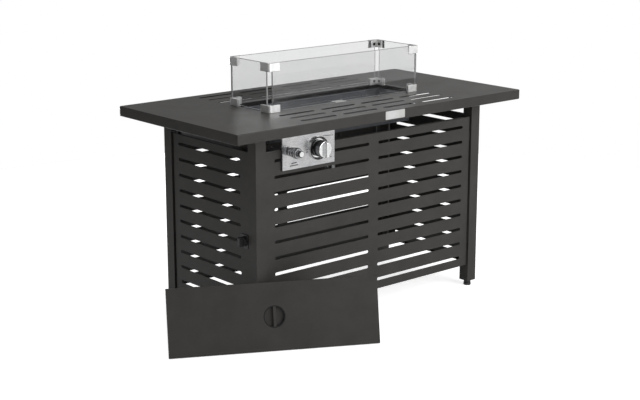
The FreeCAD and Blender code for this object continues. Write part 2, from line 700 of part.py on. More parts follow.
# Twist latch: upright when open, and a quarter turn puts the cam behind the strike.
def make_latch():
    y, z = s.latch_y, s.latch_z
    width, height, depth = s.latch_base_width, s.latch_base_height, s.latch_base_depth
    plate = box("latch_plate", (depth, width, height), (door_x - depth, y - width / 2, z - height / 2))
    rounded = fillet("latch_plate_round", plate, s.latch_base_round, lambda edge: is_along(edge, 0))
    hole = rod("latch_plate_hole", s.latch_shaft + s.running_gap, depth, (door_x - depth, y, z), "x")
    finish(cut("latch_base", rounded, [hole]), "latch_base")

    knob_x = door_x - depth - s.latch_gap
    disc = rod("latch_disc", s.latch_knob_radius, s.latch_disc, (knob_x, y, z), "-x")
    grip_reach = s.latch_disc + s.latch_grip
    half_grip = s.latch_knob_radius - s.latch_grip_inset
    grip = box("latch_grip", (grip_reach, s.latch_grip_width, 2 * half_grip),
               (knob_x - grip_reach, y - s.latch_grip_width / 2, z - half_grip))
    disc_face = (knob_x - s.latch_disc).number
    soft_grip = fillet("latch_grip_round", grip, s.latch_grip_round,
                       lambda edge: is_along(edge, 1) and edge.Vertexes[0].X < disc_face)
    shaft_end = s.cam_back + s.cam_sheet
    shaft = rod("latch_shaft", s.latch_shaft, shaft_end + depth + s.latch_gap, (knob_x, y, z), "x")
    finish(fuse("latch_knob", [disc, soft_grip, shaft]), "latch_knob")

    cam_x = door_x + s.cam_back
    arm = box("cam_arm", (s.cam_sheet, s.cam_width, s.cam_reach + s.cam_width / 2),
              (cam_x, y - s.cam_width / 2, z - s.cam_reach))
    hole = rod("cam_hole", s.latch_shaft + s.running_gap, s.cam_sheet, (cam_x, y, z), "x")
    finish(cut("latch_cam", arm, [hole]), "latch_cam")

    strike_x = cam_x - s.cam_sheet
    corner = (strike_x, -inner_y, z - s.tab_height / 2)
    leg = box("strike_leg", (s.strike_leg, s.strike_sheet, s.tab_height), corner)
    lip = box("strike_lip", (s.strike_sheet, s.strike_lip, s.tab_height), corner)
    finish(fuse("latch_strike", [leg, lip]), "latch_strike")


# Control plate, gas valve, knob and igniter

plate_y = -(panel_face_y + s.plate_depth)


def turned(name, outline, at_x, at_z):
    owner = body(name + "_turned")
    profile = sketch(owner, name + "_profile", "XY_Plane")
    draw_outline(profile, outline)
    revolve(owner, profile, "V_Axis")
    return owner, (s.table_x + at_x, s.table_y, at_z)


def make_control_plate():
    height, wall = s.plate_top - s.plate_bottom, s.plate_sheet
    tray = box("plate_tray", (s.plate_width, s.plate_depth, height), (s.plate_left, plate_y, s.plate_bottom))
    hollow = box("plate_hollow", (s.plate_width - 2 * wall, s.plate_depth, height - 2 * wall),
                 (s.plate_left + wall, plate_y + wall, s.plate_bottom + wall))
    valve_hole = rod("plate_valve_hole", s.hub_radius + s.fit_gap, s.plate_depth,
                     (s.valve_x, plate_y, s.valve_z), "y")
    igniter_hole = rod("plate_igniter_hole", s.igniter_thread + s.fit_gap, s.plate_depth,
                       (s.igniter_x, plate_y, s.igniter_z), "y")
    finish(cut("control_plate", tray, [hollow, valve_hole, igniter_hole]), "control_plate")


def make_valve():
    x, z, size = s.valve_x, s.valve_z, s.valve_size
    back_y = plate_y + s.valve_back
    half, over = size / 2, s.overcut
    block = box("valve_block", (size, size, size), (x - half, back_y, z - half))
    soft = fillet("valve_block_round", block, s.valve_round, lambda edge: True)
    hub_front = plate_y - s.hub_proud
    hub = rod("valve_hub", s.hub_radius, s.valve_back + s.hub_proud + over, (x, hub_front, z), "y")
    outlet = rod("valve_outlet", s.outlet_radius, s.outlet_proud + over,
                 (x + half - over, valve_middle_y, z), "x")
    inlet = rod("valve_inlet", s.inlet_radius, s.inlet_proud + over,
                (x, valve_middle_y, z - half + over), "-z")
    bore = rod("valve_bore", s.plug_radius + s.running_gap, s.plug_depth + over, (x, hub_front, z), "y")
    feed = rod("valve_feed", s.gas_bore, 2 * s.inlet_proud, (x, valve_middle_y, z - half - s.inlet_proud))
    outlet_bore = rod("valve_outlet_bore", s.gas_bore, 2 * s.outlet_proud,
                      (x + half - s.outlet_proud, valve_middle_y, z), "x")
    casting = fuse("valve_casting", [soft, hub, outlet, inlet])
    finish(cut("valve_body", casting, [bore, feed, outlet_bore]), "valve_body")

    plug_front = hub_front + over
    plug = rod("plug_solid", s.plug_radius, s.plug_depth - over, (x, plug_front, z), "y")
    socket_depth = s.plug_depth - s.valve_round - 2 * over
    socket = rod("plug_socket", s.stem_radius + s.running_gap, socket_depth, (x, plug_front, z), "y")
    finish(cut("valve_plug", plug, [socket]), "valve_plug")

    stem_front = plate_y - s.stem_front
    stem_back = plug_front + socket_depth - over - s.knob_press
    finish(rod("valve_stem", s.stem_radius, stem_back - stem_front, (x, stem_front, z), "y"), "valve_stem",
           (s.table_x + x, s.table_y + stem_front, z))


def make_knob():
    back, disc, front = plate_y - s.knob_gap, plate_y - s.knob_disc, plate_y - s.knob_front
    rim = s.knob_radius
    disc_body, at = turned("knob", (
        (0, back), (rim, back), (rim, back - 12), (rim - 0.8, back - 14), (rim - 0.8, disc + 1),
        (rim - 1.8, disc), (0, disc),
    ), s.valve_x, s.valve_z)
    grip = box("knob_grip", (s.knob_grip_width, disc - front + 4, 2 * rim - 4),
               (-s.knob_grip_width / 2, front, 2 - rim))
    front_edge = (front + s.overcut).number
    soft_grip = fillet("knob_grip_round", grip, s.knob_grip_round,
                       lambda edge: edge.Vertexes[0].Y < front_edge)
    bore = rod("knob_bore", s.stem_radius + s.running_gap, s.stem_front - s.knob_gap + s.fit_gap,
               (0, back, 0), "-y")
    finish(cut("control_knob", fuse("knob_solid", [disc_body, soft_grip]), [bore]), "control_knob", at)

    ring_body, at = turned("bezel", (
        (s.hub_radius + s.fit_gap, plate_y), (s.bezel_radius, plate_y),
        (s.bezel_radius, plate_y - s.bezel_height), (s.bezel_radius - 2.5, plate_y - s.bezel_height),
        (s.bezel_radius - 6, plate_y - s.bezel_floor),
        (s.hub_radius + s.fit_gap, plate_y - s.bezel_floor),
    ), s.valve_x, s.valve_z)
    finish(ring_body, "knob_bezel", at)


def make_igniter():
    front = plate_y - s.igniter_length
    radius = s.igniter_radius
    tip = radius + 2 * s.igniter_flare
    bore, bore_end = s.button_stem + s.running_gap, front + s.button_reach + 6
    points = [(s.igniter_thread, plate_y + s.igniter_rear), (0, plate_y + s.igniter_rear),
              (0, bore_end), (bore, bore_end), (bore, front), (tip - 3, front), (tip - 1.4, front + 1.5)]
    ridge = s.igniter_length / 8
    for number in range(1, 4):
        y = front + (2 * number - 1) * ridge
        band = radius + (3 - number) * s.igniter_flare
        points += [(band - 1.4, y), (band, y + 1.4), (band, y + ridge - 1.4), (band - 1.4, y + ridge)]
    points += [(radius - 1.4, plate_y - 4), (radius, plate_y - 3), (radius, plate_y),
               (s.igniter_thread, plate_y)]
    shell, at = turned("igniter", points, s.igniter_x, s.igniter_z)
    finish(shell, "igniter_body", at)

    nut_at = (s.igniter_x, plate_y + s.plate_sheet, s.igniter_z)
    nut = hexagon("igniter_nut_block", s.igniter_nut_flats, s.igniter_nut_height, nut_at, "y")
    hole = rod("igniter_nut_hole", s.igniter_thread + s.running_gap, s.igniter_nut_height, nut_at, "y")
    finish(cut("igniter_nut", nut, [hole]), "igniter_nut")

    cap_back = front - s.button_gap
    cap_front = cap_back - s.button_cap
    button, at = turned("button", (
        (0, cap_front), (s.button_radius - 2, cap_front), (s.button_radius, cap_front + 2),
        (s.button_radius, cap_back), (s.button_stem, cap_back),
        (s.button_stem, front + s.button_reach), (0, front + s.button_reach),
    ), s.igniter_x, s.igniter_z)
    finish(button, "igniter_button", at)


# Tubes that bend in a plane at each corner. Every arc is as large as its two runs allow.
def tube_path(points):
    edges = []
    here = points[0]
    radii = []
    for before, corner, after in zip(points, points[1:], points[2:]):
        into = (corner - before).normalize()
        out = (after - corner).normalize()
        half_turn = into.getAngle(out) / 2
        setback = 0.45 * min((corner - before).Length, (after - corner).Length)
        radius = setback / math.tan(half_turn)
        start, stop = corner - into * setback, corner + out * setback
        inward = (out - into).normalize()
        middle = corner + inward * (radius / math.cos(half_turn) - radius)
        edges += [Part.LineSegment(here, start).toShape(), Part.Arc(start, middle, stop).toShape()]
        here = stop
        radii.append(round(radius, 1))
    edges.append(Part.LineSegment(here, points[-1]).toShape())
    return Part.Wire(edges), radii


def make_tube(name, radius, points, bore=0):
    points = [FreeCAD.Vector(*(as_size(size).number for size in point)) for point in points]
    path, radii = tube_path(points)
    direction = points[1] - points[0]
    tube = None
    for size in (radius, bore):
        if size:
            ring = Part.Wire(Part.makeCircle(size, points[0], direction))
            solid = path.makePipeShell([ring], True, False)
            tube = solid if tube is None else tube.cut(solid)
    share = tube.Volume / (math.pi * (radius ** 2 - bore ** 2) * path.Length)
    print(name, "length", round(path.Length), "radii", radii, "volume ratio", round(share, 3))
    item = doc.addObject("Part::Feature", name)
    item.Shape = tube
    finish(item, name)


def make_gas_train():
    x, z = s.valve_x, s.valve_z
    outlet_x = x + s.valve_size / 2 + s.outlet_proud
    make_tube("gas_pipe", s.pipe_radius.number, (
        (outlet_x, valve_middle_y, z), (outlet_x + 60, valve_middle_y, z),
        (-100, -150, s.mixer_bottom - 38), (-45, -75, s.mixer_bottom - 86),
        (0, 0, s.mixer_bottom - 78), (0, 0, s.mixer_bottom),
    ), (s.pipe_radius - s.pipe_wall).number)
    nut_z = z - s.valve_size / 2 - s.inlet_proud
    nut_height = s.inlet_nut_height
    nut = hexagon("inlet_nut", s.inlet_nut_flats, nut_height, (x, valve_middle_y, nut_z), "-z")
    nipple = rod("inlet_nipple", s.inlet_radius, s.inlet_length,
                 (x, valve_middle_y, nut_z - nut_height), "-z")
    bore = rod("inlet_bore", s.gas_bore, s.inlet_length + nut_height, (x, valve_middle_y, nut_z), "-z")
    finish(cut("gas_inlet", fuse("inlet_solid", [nut, nipple]), [bore]), "gas_inlet")


valve_middle_y = plate_y + s.valve_back + s.valve_size / 2


# Burner pan and everything in it

ledge_top = under_top - s.ring_drop + s.top_sheet
pan_length = s.opening_length - 2 * (s.ring_ledge + s.pan_clearance)
pan_width = s.opening_width - 2 * (s.ring_ledge + s.pan_clearance)
pan_floor = ledge_top - s.pan_depth + s.pan_sheet
burner_z = pan_floor + s.burner_rise
probe_low = ledge_top - s.pan_depth - s.probe_drop


# The pan is welded from a floor and four walls, and each wall is folded out to a rim.
def pan_wall(name, wall_size, wall_at, rim_size, rim_at):
    return fuse(name, [box(name + "_sheet", wall_size, wall_at), box(name + "_rim", rim_size, rim_at)])


def make_pan():
    length, width, wall, rim = pan_length, pan_width, s.pan_sheet, s.pan_rim
    low = ledge_top - s.pan_depth
    inner_length, inner_width = length - 2 * wall, width - 2 * wall
    plates = []
    for end, sign in ends:
        near = width / 2 - wall
        plates.append(pan_wall(
            f"pan_{end}", (length, wall, s.pan_depth), (-length / 2, sided(sign, near, wall), low),
            (length + 2 * rim, rim + wall, wall),
            (-length / 2 - rim, sided(sign, near, rim + wall), ledge_top)))
    for side, sign in sides:
        near = length / 2 - wall
        plates.append(pan_wall(
            f"pan_{side}", (wall, inner_width, s.pan_depth),
            (sided(sign, near, wall), -inner_width / 2, low),
            (rim + wall, inner_width, wall),
            (sided(sign, near, rim + wall), -inner_width / 2, ledge_top)))
    floor = box("pan_floor_sheet", (inner_length, inner_width, wall),
                (-inner_length / 2, -inner_width / 2, low))
    holes = [rod("pan_mixer_hole", s.nipple_radius + s.fit_gap, 4 * wall, (0, 0, low - wall))]
    holes += [rod("pan_lead_hole", s.probe_radius + s.fit_gap, 4 * wall, (x, s.cage_y, low - wall))
              for x in probe_places()]
    plates.append(cut("pan_floor", floor, holes))
    finish(group("burner_pan", plates), "burner_pan")


def probe_places():
    return [s.cage_x + shift * s.cage_length for shift in (-0.22, 0.22)]


def make_burner():
    half, wall = s.burner_length / 2, s.burner_wall
    tube = rod("burner_outer", s.burner_radius, s.burner_length, (-half, 0, burner_z), "x")
    hollow = rod("burner_hollow", s.burner_radius - wall, s.burner_length - 2 * wall,
                 (wall - half, 0, burner_z), "x")
    ports = []
    for sign in (-1, 1):
        for number in range(s.port_count.number):
            x = (number - (s.port_count.number - 1) / 2) * s.port_step
            port = rod("burner_port", s.port_radius, s.burner_radius + s.overcut, (x, 0, burner_z))
            port.Placement.Rotation = FreeCAD.Rotation(FreeCAD.Vector(1, 0, 0), sign * s.port_lean.number)
            ports.append(port)
    feed = rod("burner_feed", s.nipple_radius - s.saddle_sheet, s.burner_radius, (0, 0, burner_z), "-z")
    finish(cut("burner_tube", tube, [hollow, feed] + ports), "burner_tube")

    saddles = []
    for sign in (-1, 1):
        x = sign * half * 0.7
        corner = (x, -s.saddle_width / 2, pan_floor)
        post = box("saddle_post", (s.saddle_sheet, s.saddle_width, s.burner_rise), corner)
        foot = box("saddle_foot", (s.saddle_foot, s.saddle_width, s.saddle_sheet), corner)
        notch = rod("saddle_notch", s.burner_radius + s.fit_gap, 2 * s.saddle_sheet,
                    (x - s.overcut, 0, burner_z), "x")
        saddles.append(cut("saddle", fuse("saddle_angle", [post, foot]), [notch]))
    finish(group("burner_saddles", saddles), "burner_saddles")


def make_mixer():
    low = ledge_top - s.pan_depth
    bottom, reach = s.mixer_bottom, 3 * s.mixer_radius
    barrel = rod("mixer_barrel", s.mixer_radius, low - bottom, (0, 0, bottom))
    nipple = rod("mixer_nipple", s.nipple_radius, burner_z - low, (0, 0, low))
    lock = hexagon("mixer_lock", s.mixer_lock_flats, s.mixer_lock_height, (0, 0, pan_floor))
    bore = rod("mixer_bore", s.nipple_radius - s.saddle_sheet, burner_z - bottom,
               (0, 0, bottom + s.mixer_floor))
    window_z = bottom + s.window_rise
    windows = [box("mixer_window_x", (reach, s.window_width, s.window_height),
                   (-reach / 2, -s.window_width / 2, window_z)),
               box("mixer_window_y", (s.window_width, reach, s.window_height),
                   (-s.window_width / 2, -reach / 2, window_z))]
    jet = rod("mixer_jet", s.mixer_jet, s.mixer_floor, (0, 0, bottom))
    crown = rod("mixer_crown", s.burner_radius + s.running_gap, reach, (-reach / 2, 0, burner_z), "x")
    solid = fuse("mixer_solid", [barrel, nipple, lock])
    finish(cut("air_mixer", solid, [bore, jet, crown] + windows), "air_mixer")


def make_flame_cage():
    length, width, wall = s.cage_length, s.cage_width, s.cage_sheet
    left, front = s.cage_x - length / 2, s.cage_y - width / 2
    height = s.top_height - s.cage_top_drop - pan_floor
    shell = box("cage_shell", (length, width, height), (left, front, pan_floor))
    hollow = box("cage_hollow", (length - 2 * wall, width - 2 * wall, height),
                 (left + wall, front + wall, pan_floor - wall))
    windows, margin, rise = [], s.cage_frame, s.cage_row_height
    for number in range(s.cage_rows.number):
        z = pan_floor + s.cage_row_first + s.cage_row_step * number
        windows.append(box("cage_window_long", (length - 2 * margin, 2 * width, rise),
                           (left + margin, front - width / 2, z)))
        windows.append(box("cage_window_short", (2 * length, width - 2 * margin, rise),
                           (left - length / 2, front + margin, z)))
    finish(cut("flame_cage", shell, [hollow] + windows), "flame_cage")

    electrode_x, couple_x = probe_places()
    ceramic = rod("electrode_ceramic", s.probe_radius, s.ceramic_length, (electrode_x, s.cage_y, probe_low))
    wire = rod("electrode_wire", s.wire_radius, s.wire_length,
               (electrode_x, s.cage_y, probe_low + s.ceramic_length))
    finish(fuse("ignition_electrode", [ceramic, wire]), "ignition_electrode")
    stalk = rod("couple_stalk", s.probe_radius, s.stalk_length, (couple_x, s.cage_y, probe_low))
    tip = cone("couple_tip", s.probe_radius, s.tip_radius, s.tip_length,
               (couple_x, s.cage_y, probe_low + s.stalk_length))
    finish(fuse("thermocouple", [stalk, tip]), "thermocouple")


def make_leads():
    electrode_x, couple_x = probe_places()
    low, radius = probe_low, s.lead_radius.number
    rear = plate_y + s.igniter_rear
    make_tube("ignition_lead", radius, (
        (s.igniter_x, rear, s.igniter_z), (s.igniter_x, rear + 40, s.igniter_z),
        (s.igniter_x + 50, rear + 75, s.igniter_z - 18), (s.valve_x + 10, -105, low - 16),
        (s.valve_x + 90, -112, low - 34), (electrode_x - 60, -70, low - 52),
        (electrode_x, s.cage_y, low - 45), (electrode_x, s.cage_y, low),
    ))
    valve_rear = plate_y + s.valve_back + s.valve_size
    make_tube("thermocouple_lead", radius, (
        (s.valve_x, valve_rear, s.valve_z + 8), (s.valve_x, valve_rear + 30, s.valve_z + 8),
        (s.valve_x + 45, -110, s.valve_z - 6), (s.valve_x + 110, -95, low - 10),
        (couple_x - 75, -45, low - 32), (couple_x, s.cage_y, low - 36), (couple_x, s.cage_y, low),
    ))


# Glass wind guard

guard_left = s.guard_x - s.guard_length / 2
guard_front = s.guard_y - s.guard_width / 2
clamp_at = s.bracket_wall + s.glass


# Each pane runs past the end of one neighbour and stops short of the other.
def make_panes():
    z = s.top_height + s.glass_lift
    for end, sign in ends:
        near = s.bracket_wall if sign < 0 else s.guard_width - s.bracket_wall - s.glass
        start = s.long_far_end if sign < 0 else s.long_near_end
        size = (s.guard_length - s.long_near_end - s.long_far_end, s.glass, s.glass_height)
        pane = box(f"glass_{end}_pane", size, (guard_left + start, guard_front + near, z))
        finish(fillet(f"glass_{end}", pane, s.glass_round, lambda edge: is_along(edge, 0)), f"glass_{end}")
    for side, sign in sides:
        near = s.bracket_wall if sign < 0 else s.guard_length - s.bracket_wall - s.glass
        start = s.side_far_end if sign < 0 else s.side_near_end
        size = (s.glass, s.guard_width - s.side_near_end - s.side_far_end, s.glass_height)
        pane = box(f"glass_{side}_pane", size, (guard_left + near, guard_front + start, z))
        finish(fillet(f"glass_{side}", pane, s.glass_round, lambda edge: is_along(edge, 1)), f"glass_{side}")


def guard_corners():
    for end_sign in (-1, 1):
        for side_sign in (-1, 1):
            x = s.guard_x + side_sign * s.guard_length / 2
            y = s.guard_y + end_sign * s.guard_width / 2
            yield side_sign, end_sign, x, y


# A length that starts at a guard corner and runs into the guard.
def inward(corner, sign, start, length):
    return corner - sign * (start + length) if sign > 0 else corner - sign * start


def corner_box(name, corner, start, size, z, height):
    side_sign, end_sign, x, y = corner
    at = (inward(x, side_sign, start[0], size[0]), inward(y, end_sign, start[1], size[1]), z)
    return box(name, (size[0], size[1], height), at)


def make_bracket(corner, z, height, hollow_z):
    leg, wall = s.bracket_leg, s.bracket_wall
    block = corner_box("bracket_block", corner, (0, 0), (leg, leg), z, height)
    x, y = corner[2].number, corner[3].number

    def at_corner(edge):
        start = edge.Vertexes[0]
        return is_along(edge, 2) and abs(start.X - x) + abs(start.Y - y) < 0.1

    rounded = fillet("bracket_round", block, s.bracket_round, at_corner)
    core = clamp_at + s.clamp_depth
    middle = corner_box("bracket_middle", corner, (core, core), (leg, leg), z - s.overcut,
                        height + 2 * s.overcut)
    hollow = corner_box("bracket_hollow", corner, (wall, wall), (leg, leg), hollow_z,
                        height + 2 * s.overcut)
    return cut("bracket", rounded, [middle, hollow])


def make_guard_hardware():
    top_z = s.top_height + s.glass_lift + s.glass_height - s.bracket_high
    low_z = s.top_height
    low, high, clamps, screws = [], [], [], []
    for corner in guard_corners():
        side_sign, end_sign, x, y = corner
        low.append(make_bracket(corner, low_z, s.bracket_low, low_z + s.bracket_floor))
        high.append(make_bracket(corner, top_z, s.bracket_high, top_z - s.overcut))
        low_clamp_z = low_z + s.bracket_floor + s.clamp_gap
        high_clamp_z = top_z + s.clamp_gap
        clamps.append(make_angle_clamp(corner, low_clamp_z))
        clamps += make_plate_clamps(corner, high_clamp_z)
        low_screw_z = low_clamp_z + s.angle_clamp_height / 2
        high_screw_z = high_clamp_z + s.plate_clamp_height / 2
        for screw_z in (low_screw_z, high_screw_z):
            middle = s.guard_screw_at
            reach = clamp_at + s.clamp_depth
            screws.append(rod("guard_screw", s.guard_screw_radius, s.guard_screw_head,
                              (x - side_sign * reach, y - end_sign * middle, screw_z),
                              along("x", -side_sign)))
            screws.append(rod("guard_screw", s.guard_screw_radius, s.guard_screw_head,
                              (x - side_sign * middle, y - end_sign * reach, screw_z),
                              along("y", -end_sign)))
    finish(group("guard_brackets_low", low), "guard_brackets_low")
    finish(group("guard_brackets_high", high), "guard_brackets_high")
    finish(group("guard_clamps", clamps), "guard_clamps")
    finish(group("guard_screws", screws), "guard_screws")


# The upper panes are held by a plate on each side of the corner.
def make_plate_clamps(corner, z):
    start, leg = s.plate_clamp_start, s.plate_clamp_length
    depth, height = s.clamp_depth, s.plate_clamp_height
    return [corner_box("clamp_x", corner, (clamp_at, start), (depth, leg), z, height),
            corner_box("clamp_y", corner, (start, clamp_at), (leg, depth), z, height)]


# The lower ones are held by one angle with a chamfer across its inner corner.
def make_angle_clamp(corner, z):
    side_sign, end_sign, x, y = corner
    inner = clamp_at + s.clamp_depth
    chamfer = inner + s.clamp_chamfer
    end = s.bracket_leg - s.clamp_gap
    outline = ((clamp_at, clamp_at), (end, clamp_at), (end, inner), (chamfer, inner),
               (inner, chamfer), (inner, end), (clamp_at, end))
    owner = body("angle_clamp")
    profile = sketch(owner, "angle_clamp_profile", "XY_Plane", z)
    draw_outline(profile, [(x - side_sign * along_x, y - end_sign * along_y) for along_x, along_y in outline])
    pad(owner, profile, s.angle_clamp_height)
    return owner


# Burner lid. It is drawn lying on its back and then stood against the post.

def lid_placement():
    turn, lean = math.radians(s.lid_turn.number), math.radians(s.lid_lean.number)
    side = FreeCAD.Vector(math.cos(turn), math.sin(turn), 0)
    outward = FreeCAD.Vector(math.sin(turn), -math.cos(turn), 0)
    up = FreeCAD.Vector(0, 0, 1)
    rise = up * math.cos(lean) - outward * math.sin(lean)
    face = outward * math.cos(lean) + up * math.sin(lean)
    post_corner = FreeCAD.Vector(-base_x.number, -base_y.number, 0)
    stand_off = s.lid_height.number * math.sin(lean) + s.lid_gap.number
    start = side * s.lid_along.number + outward * (post_corner.dot(outward) + stand_off)
    matrix = FreeCAD.Matrix(side.x, rise.x, face.x, start.x + s.table_x.number,
                            side.y, rise.y, face.y, start.y + s.table_y.number,
                            side.z, rise.z, face.z, 0, 0, 0, 0, 1)
    return FreeCAD.Placement(matrix)


def finish_lid(item, label):
    item.Label = label
    item.Placement = lid_placement()
    finished.append(item)


def make_lid():
    length, height, wall, fold = s.lid_length, s.lid_height, s.lid_sheet, s.lid_fold
    centre = (length / 2, height / 2)
    shell = body("lid_tray")
    outline = sketch(shell, "lid_outline", "XY_Plane")
    draw_rectangle(outline, 0, 0, length, height)
    pad(shell, outline, fold)
    hollow = sketch(shell, "lid_hollow", "XY_Plane")
    draw_rectangle(hollow, wall, wall, length - 2 * wall, height - 2 * wall)
    pocket(shell, hollow, fold - wall, reverse=True)
    mouth = sketch(shell, "lid_mouth", "XY_Plane")
    draw_circle(mouth, *centre, s.cup_radius)
    pocket(shell, mouth, fold, reverse=True)
    finish_lid(shell, "lid_shell")

    radius, floor = s.cup_radius - s.running_gap, fold - s.cup_depth
    outside = rod("cup_outside", radius, s.cup_depth, (*centre, floor))
    inside = rod("cup_inside", radius - s.cup_sheet, s.cup_depth, (*centre, floor + s.cup_sheet))
    finish_lid(group("lid_cup", [cut("cup_cut", outside, [inside])]), "lid_cup")

    reach = 2 * (radius - s.cup_sheet)
    bar = box("grip_bar", (s.grip_width, reach, s.cup_depth / 2),
              (length / 2 - s.grip_width / 2, height / 2 - reach / 2, fold - s.cup_depth / 2))
    ends_round = rod("grip_ends", radius - s.cup_sheet, s.cup_depth, (*centre, floor + s.cup_sheet))
    grip = doc.addObject("Part::Common", "grip_common")
    grip.Base, grip.Tool = bar, ends_round
    finish_lid(group("lid_grip", [grip]), "lid_grip")


def build():
    for end, end_sign in ends:
        for side, side_sign in sides:
            make_post(end, end_sign, side, side_sign)
            make_foot(end, end_sign, side, side_sign)
        make_long_panel(end, end_sign)
    make_foot_inserts()
    make_rails()
    make_tabletop()
    make_top_nuts()
    make_burner_ring()
    make_badge()
    make_right_panel()
    make_tabs()
    make_door()
    make_hinges()
    make_latch()
    make_control_plate()
    make_valve()
    make_knob()
    make_igniter()
    make_gas_train()
    make_pan()
    make_burner()
    make_mixer()
    make_flame_cage()
    make_leads()
    make_panes()
    make_guard_hardware()
    make_lid()


def check_and_export():
    doc.recompute()
    for item in doc.Objects:
        if "Invalid" in item.State or "Error" in item.State:
            raise RuntimeError(f"{item.Label} failed: {item.State}")
    for item in finished:
        if item.Shape.isNull() or not item.Shape.isValid() or not item.Shape.Solids:
            raise RuntimeError(f"{item.Label} has no valid solid")
    os.makedirs("parts", exist_ok=True)
    for item in finished:
        item.Shape.exportStep(f"parts/{item.Label}.step")
    print(len(finished), "sub-parts written")


build()
check_and_export()
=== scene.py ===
import bpy
import bmesh
import json
import math
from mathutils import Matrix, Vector


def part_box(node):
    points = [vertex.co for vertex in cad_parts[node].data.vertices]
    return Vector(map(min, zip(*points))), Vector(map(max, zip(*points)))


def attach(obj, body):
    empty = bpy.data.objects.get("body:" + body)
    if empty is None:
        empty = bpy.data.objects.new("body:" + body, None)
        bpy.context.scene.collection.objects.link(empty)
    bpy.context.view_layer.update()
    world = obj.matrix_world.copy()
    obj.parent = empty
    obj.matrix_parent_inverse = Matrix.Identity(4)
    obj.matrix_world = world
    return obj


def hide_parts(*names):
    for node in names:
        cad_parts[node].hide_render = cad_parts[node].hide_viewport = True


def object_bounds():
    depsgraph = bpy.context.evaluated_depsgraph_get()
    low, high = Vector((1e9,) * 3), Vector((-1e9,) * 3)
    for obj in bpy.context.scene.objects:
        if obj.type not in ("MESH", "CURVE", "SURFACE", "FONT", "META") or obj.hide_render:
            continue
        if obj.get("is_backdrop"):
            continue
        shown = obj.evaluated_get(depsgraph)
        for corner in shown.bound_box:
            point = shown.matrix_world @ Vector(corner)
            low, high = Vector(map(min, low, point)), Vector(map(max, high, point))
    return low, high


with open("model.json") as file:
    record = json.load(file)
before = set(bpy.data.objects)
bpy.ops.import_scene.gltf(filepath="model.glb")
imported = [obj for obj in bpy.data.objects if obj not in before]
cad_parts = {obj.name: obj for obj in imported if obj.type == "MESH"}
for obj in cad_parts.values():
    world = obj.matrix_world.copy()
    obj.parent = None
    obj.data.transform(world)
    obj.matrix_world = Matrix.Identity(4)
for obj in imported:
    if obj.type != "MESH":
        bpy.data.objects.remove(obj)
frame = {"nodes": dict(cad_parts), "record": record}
nodes, record = frame["nodes"], frame["record"]
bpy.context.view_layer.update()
finishOf = {part["node"]: part["material_slot"] for part in record["subparts"]}
bodyOf = {node: body for body, names in record["behaviour"]["bodies"].items() for node in names}
topLow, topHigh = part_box("tabletop")
middle = (topLow + topHigh) / 2
mm = 0.001

# Points closer than this many millimetres are one, and faces that bend less than this many degrees.
weldGap = 0.002
flatWithin = 0.4


# Sizes below are millimetres from the middle of the tabletop, on the floor.
def at(x, y, z):
    return Vector((middle.x + x * mm, middle.y + y * mm, z * mm))


def toLinear(code):
    shares = [int(code[start:start + 2], 16) / 255 for start in (1, 3, 5)]
    return [c / 12.92 if c <= 0.04045 else ((c + 0.055) / 1.055) ** 2.4 for c in shares] + [1]


# One node with its settings, its fixed values and its links. A node as a value is its first output.
def addNode(tree, kind, settings=None, **inputs):
    node = tree.nodes.new(kind)
    for name, value in (settings or {}).items():
        setattr(node, name, value)
    for name, value in inputs.items():
        label = name.replace("_", " ")
        place = int(label[5:]) if label.startswith("input") else label
        if isinstance(value, bpy.types.Node):
            value = value.outputs[0]
        if isinstance(value, bpy.types.NodeSocket):
            tree.links.new(value, node.inputs[place])
        else:
            node.inputs[place].default_value = value
    return node


print("frame loaded:", len(nodes), "nodes")

# Finishes


def startFinish(name, **surface):
    finish = bpy.data.materials.new(name)
    finish.use_nodes = True
    tree = finish.node_tree
    tree.nodes.clear()
    shader = addNode(tree, "ShaderNodeBsdfPrincipled", **surface)
    addNode(tree, "ShaderNodeOutputMaterial", Surface=shader)
    return finish, tree, shader, addNode(tree, "ShaderNodeTexCoord").outputs["Object"]


# A pattern, whose values lie mostly between 0.3 and 0.7, moves the colour between two codes, and the
# roughness between two values unless a node gives it. A relief's depth is in millimetres, as the real one's.
def varySurface(tree, shader, pattern, codes, roughness, relief=None, depth=0.02, strength=0.6):
    ramp = addNode(tree, "ShaderNodeValToRGB", Fac=pattern)
    for stop, code, place in zip(ramp.color_ramp.elements, codes, (0.35, 0.65)):
        stop.color = toLinear(code)
        stop.position = place
    tree.links.new(ramp.outputs["Color"], shader.inputs["Base Color"])
    if isinstance(roughness, tuple):
        low, high = roughness
        roughness = addNode(tree, "ShaderNodeMapRange", Value=pattern, From_Min=0.3, From_Max=0.7,
                            To_Min=low, To_Max=high)
    tree.links.new(roughness.outputs[0], shader.inputs["Roughness"])
    if relief:
        bump = addNode(tree, "ShaderNodeBump", Height=relief, Distance=depth * mm, Strength=strength)
        tree.links.new(bump.outputs[0], shader.inputs["Normal"])


def powderCoat(name, codes):
    # polyester powder baked on steel: satin, slightly wavy like orange peel, a little dust
    finish, tree, shader, place = startFinish(name, IOR=1.5, Specular_IOR_Level=0.2)
    peel = addNode(tree, "ShaderNodeTexNoise", Vector=place, Scale=1 / (2.2 * mm), Detail=1.5)
    grain = addNode(tree, "ShaderNodeTexNoise", Vector=place, Scale=1 / (0.35 * mm), Detail=1)
    dust = addNode(tree, "ShaderNodeTexNoise", Vector=place, Scale=1 / (85 * mm), Detail=4, Roughness=0.6)
    relief = addNode(tree, "ShaderNodeMath", {"operation": "MULTIPLY_ADD"}, input0=grain, input1=0.25,
                     input2=peel)
    varySurface(tree, shader, dust, codes, (0.31, 0.37), relief)
    return finish


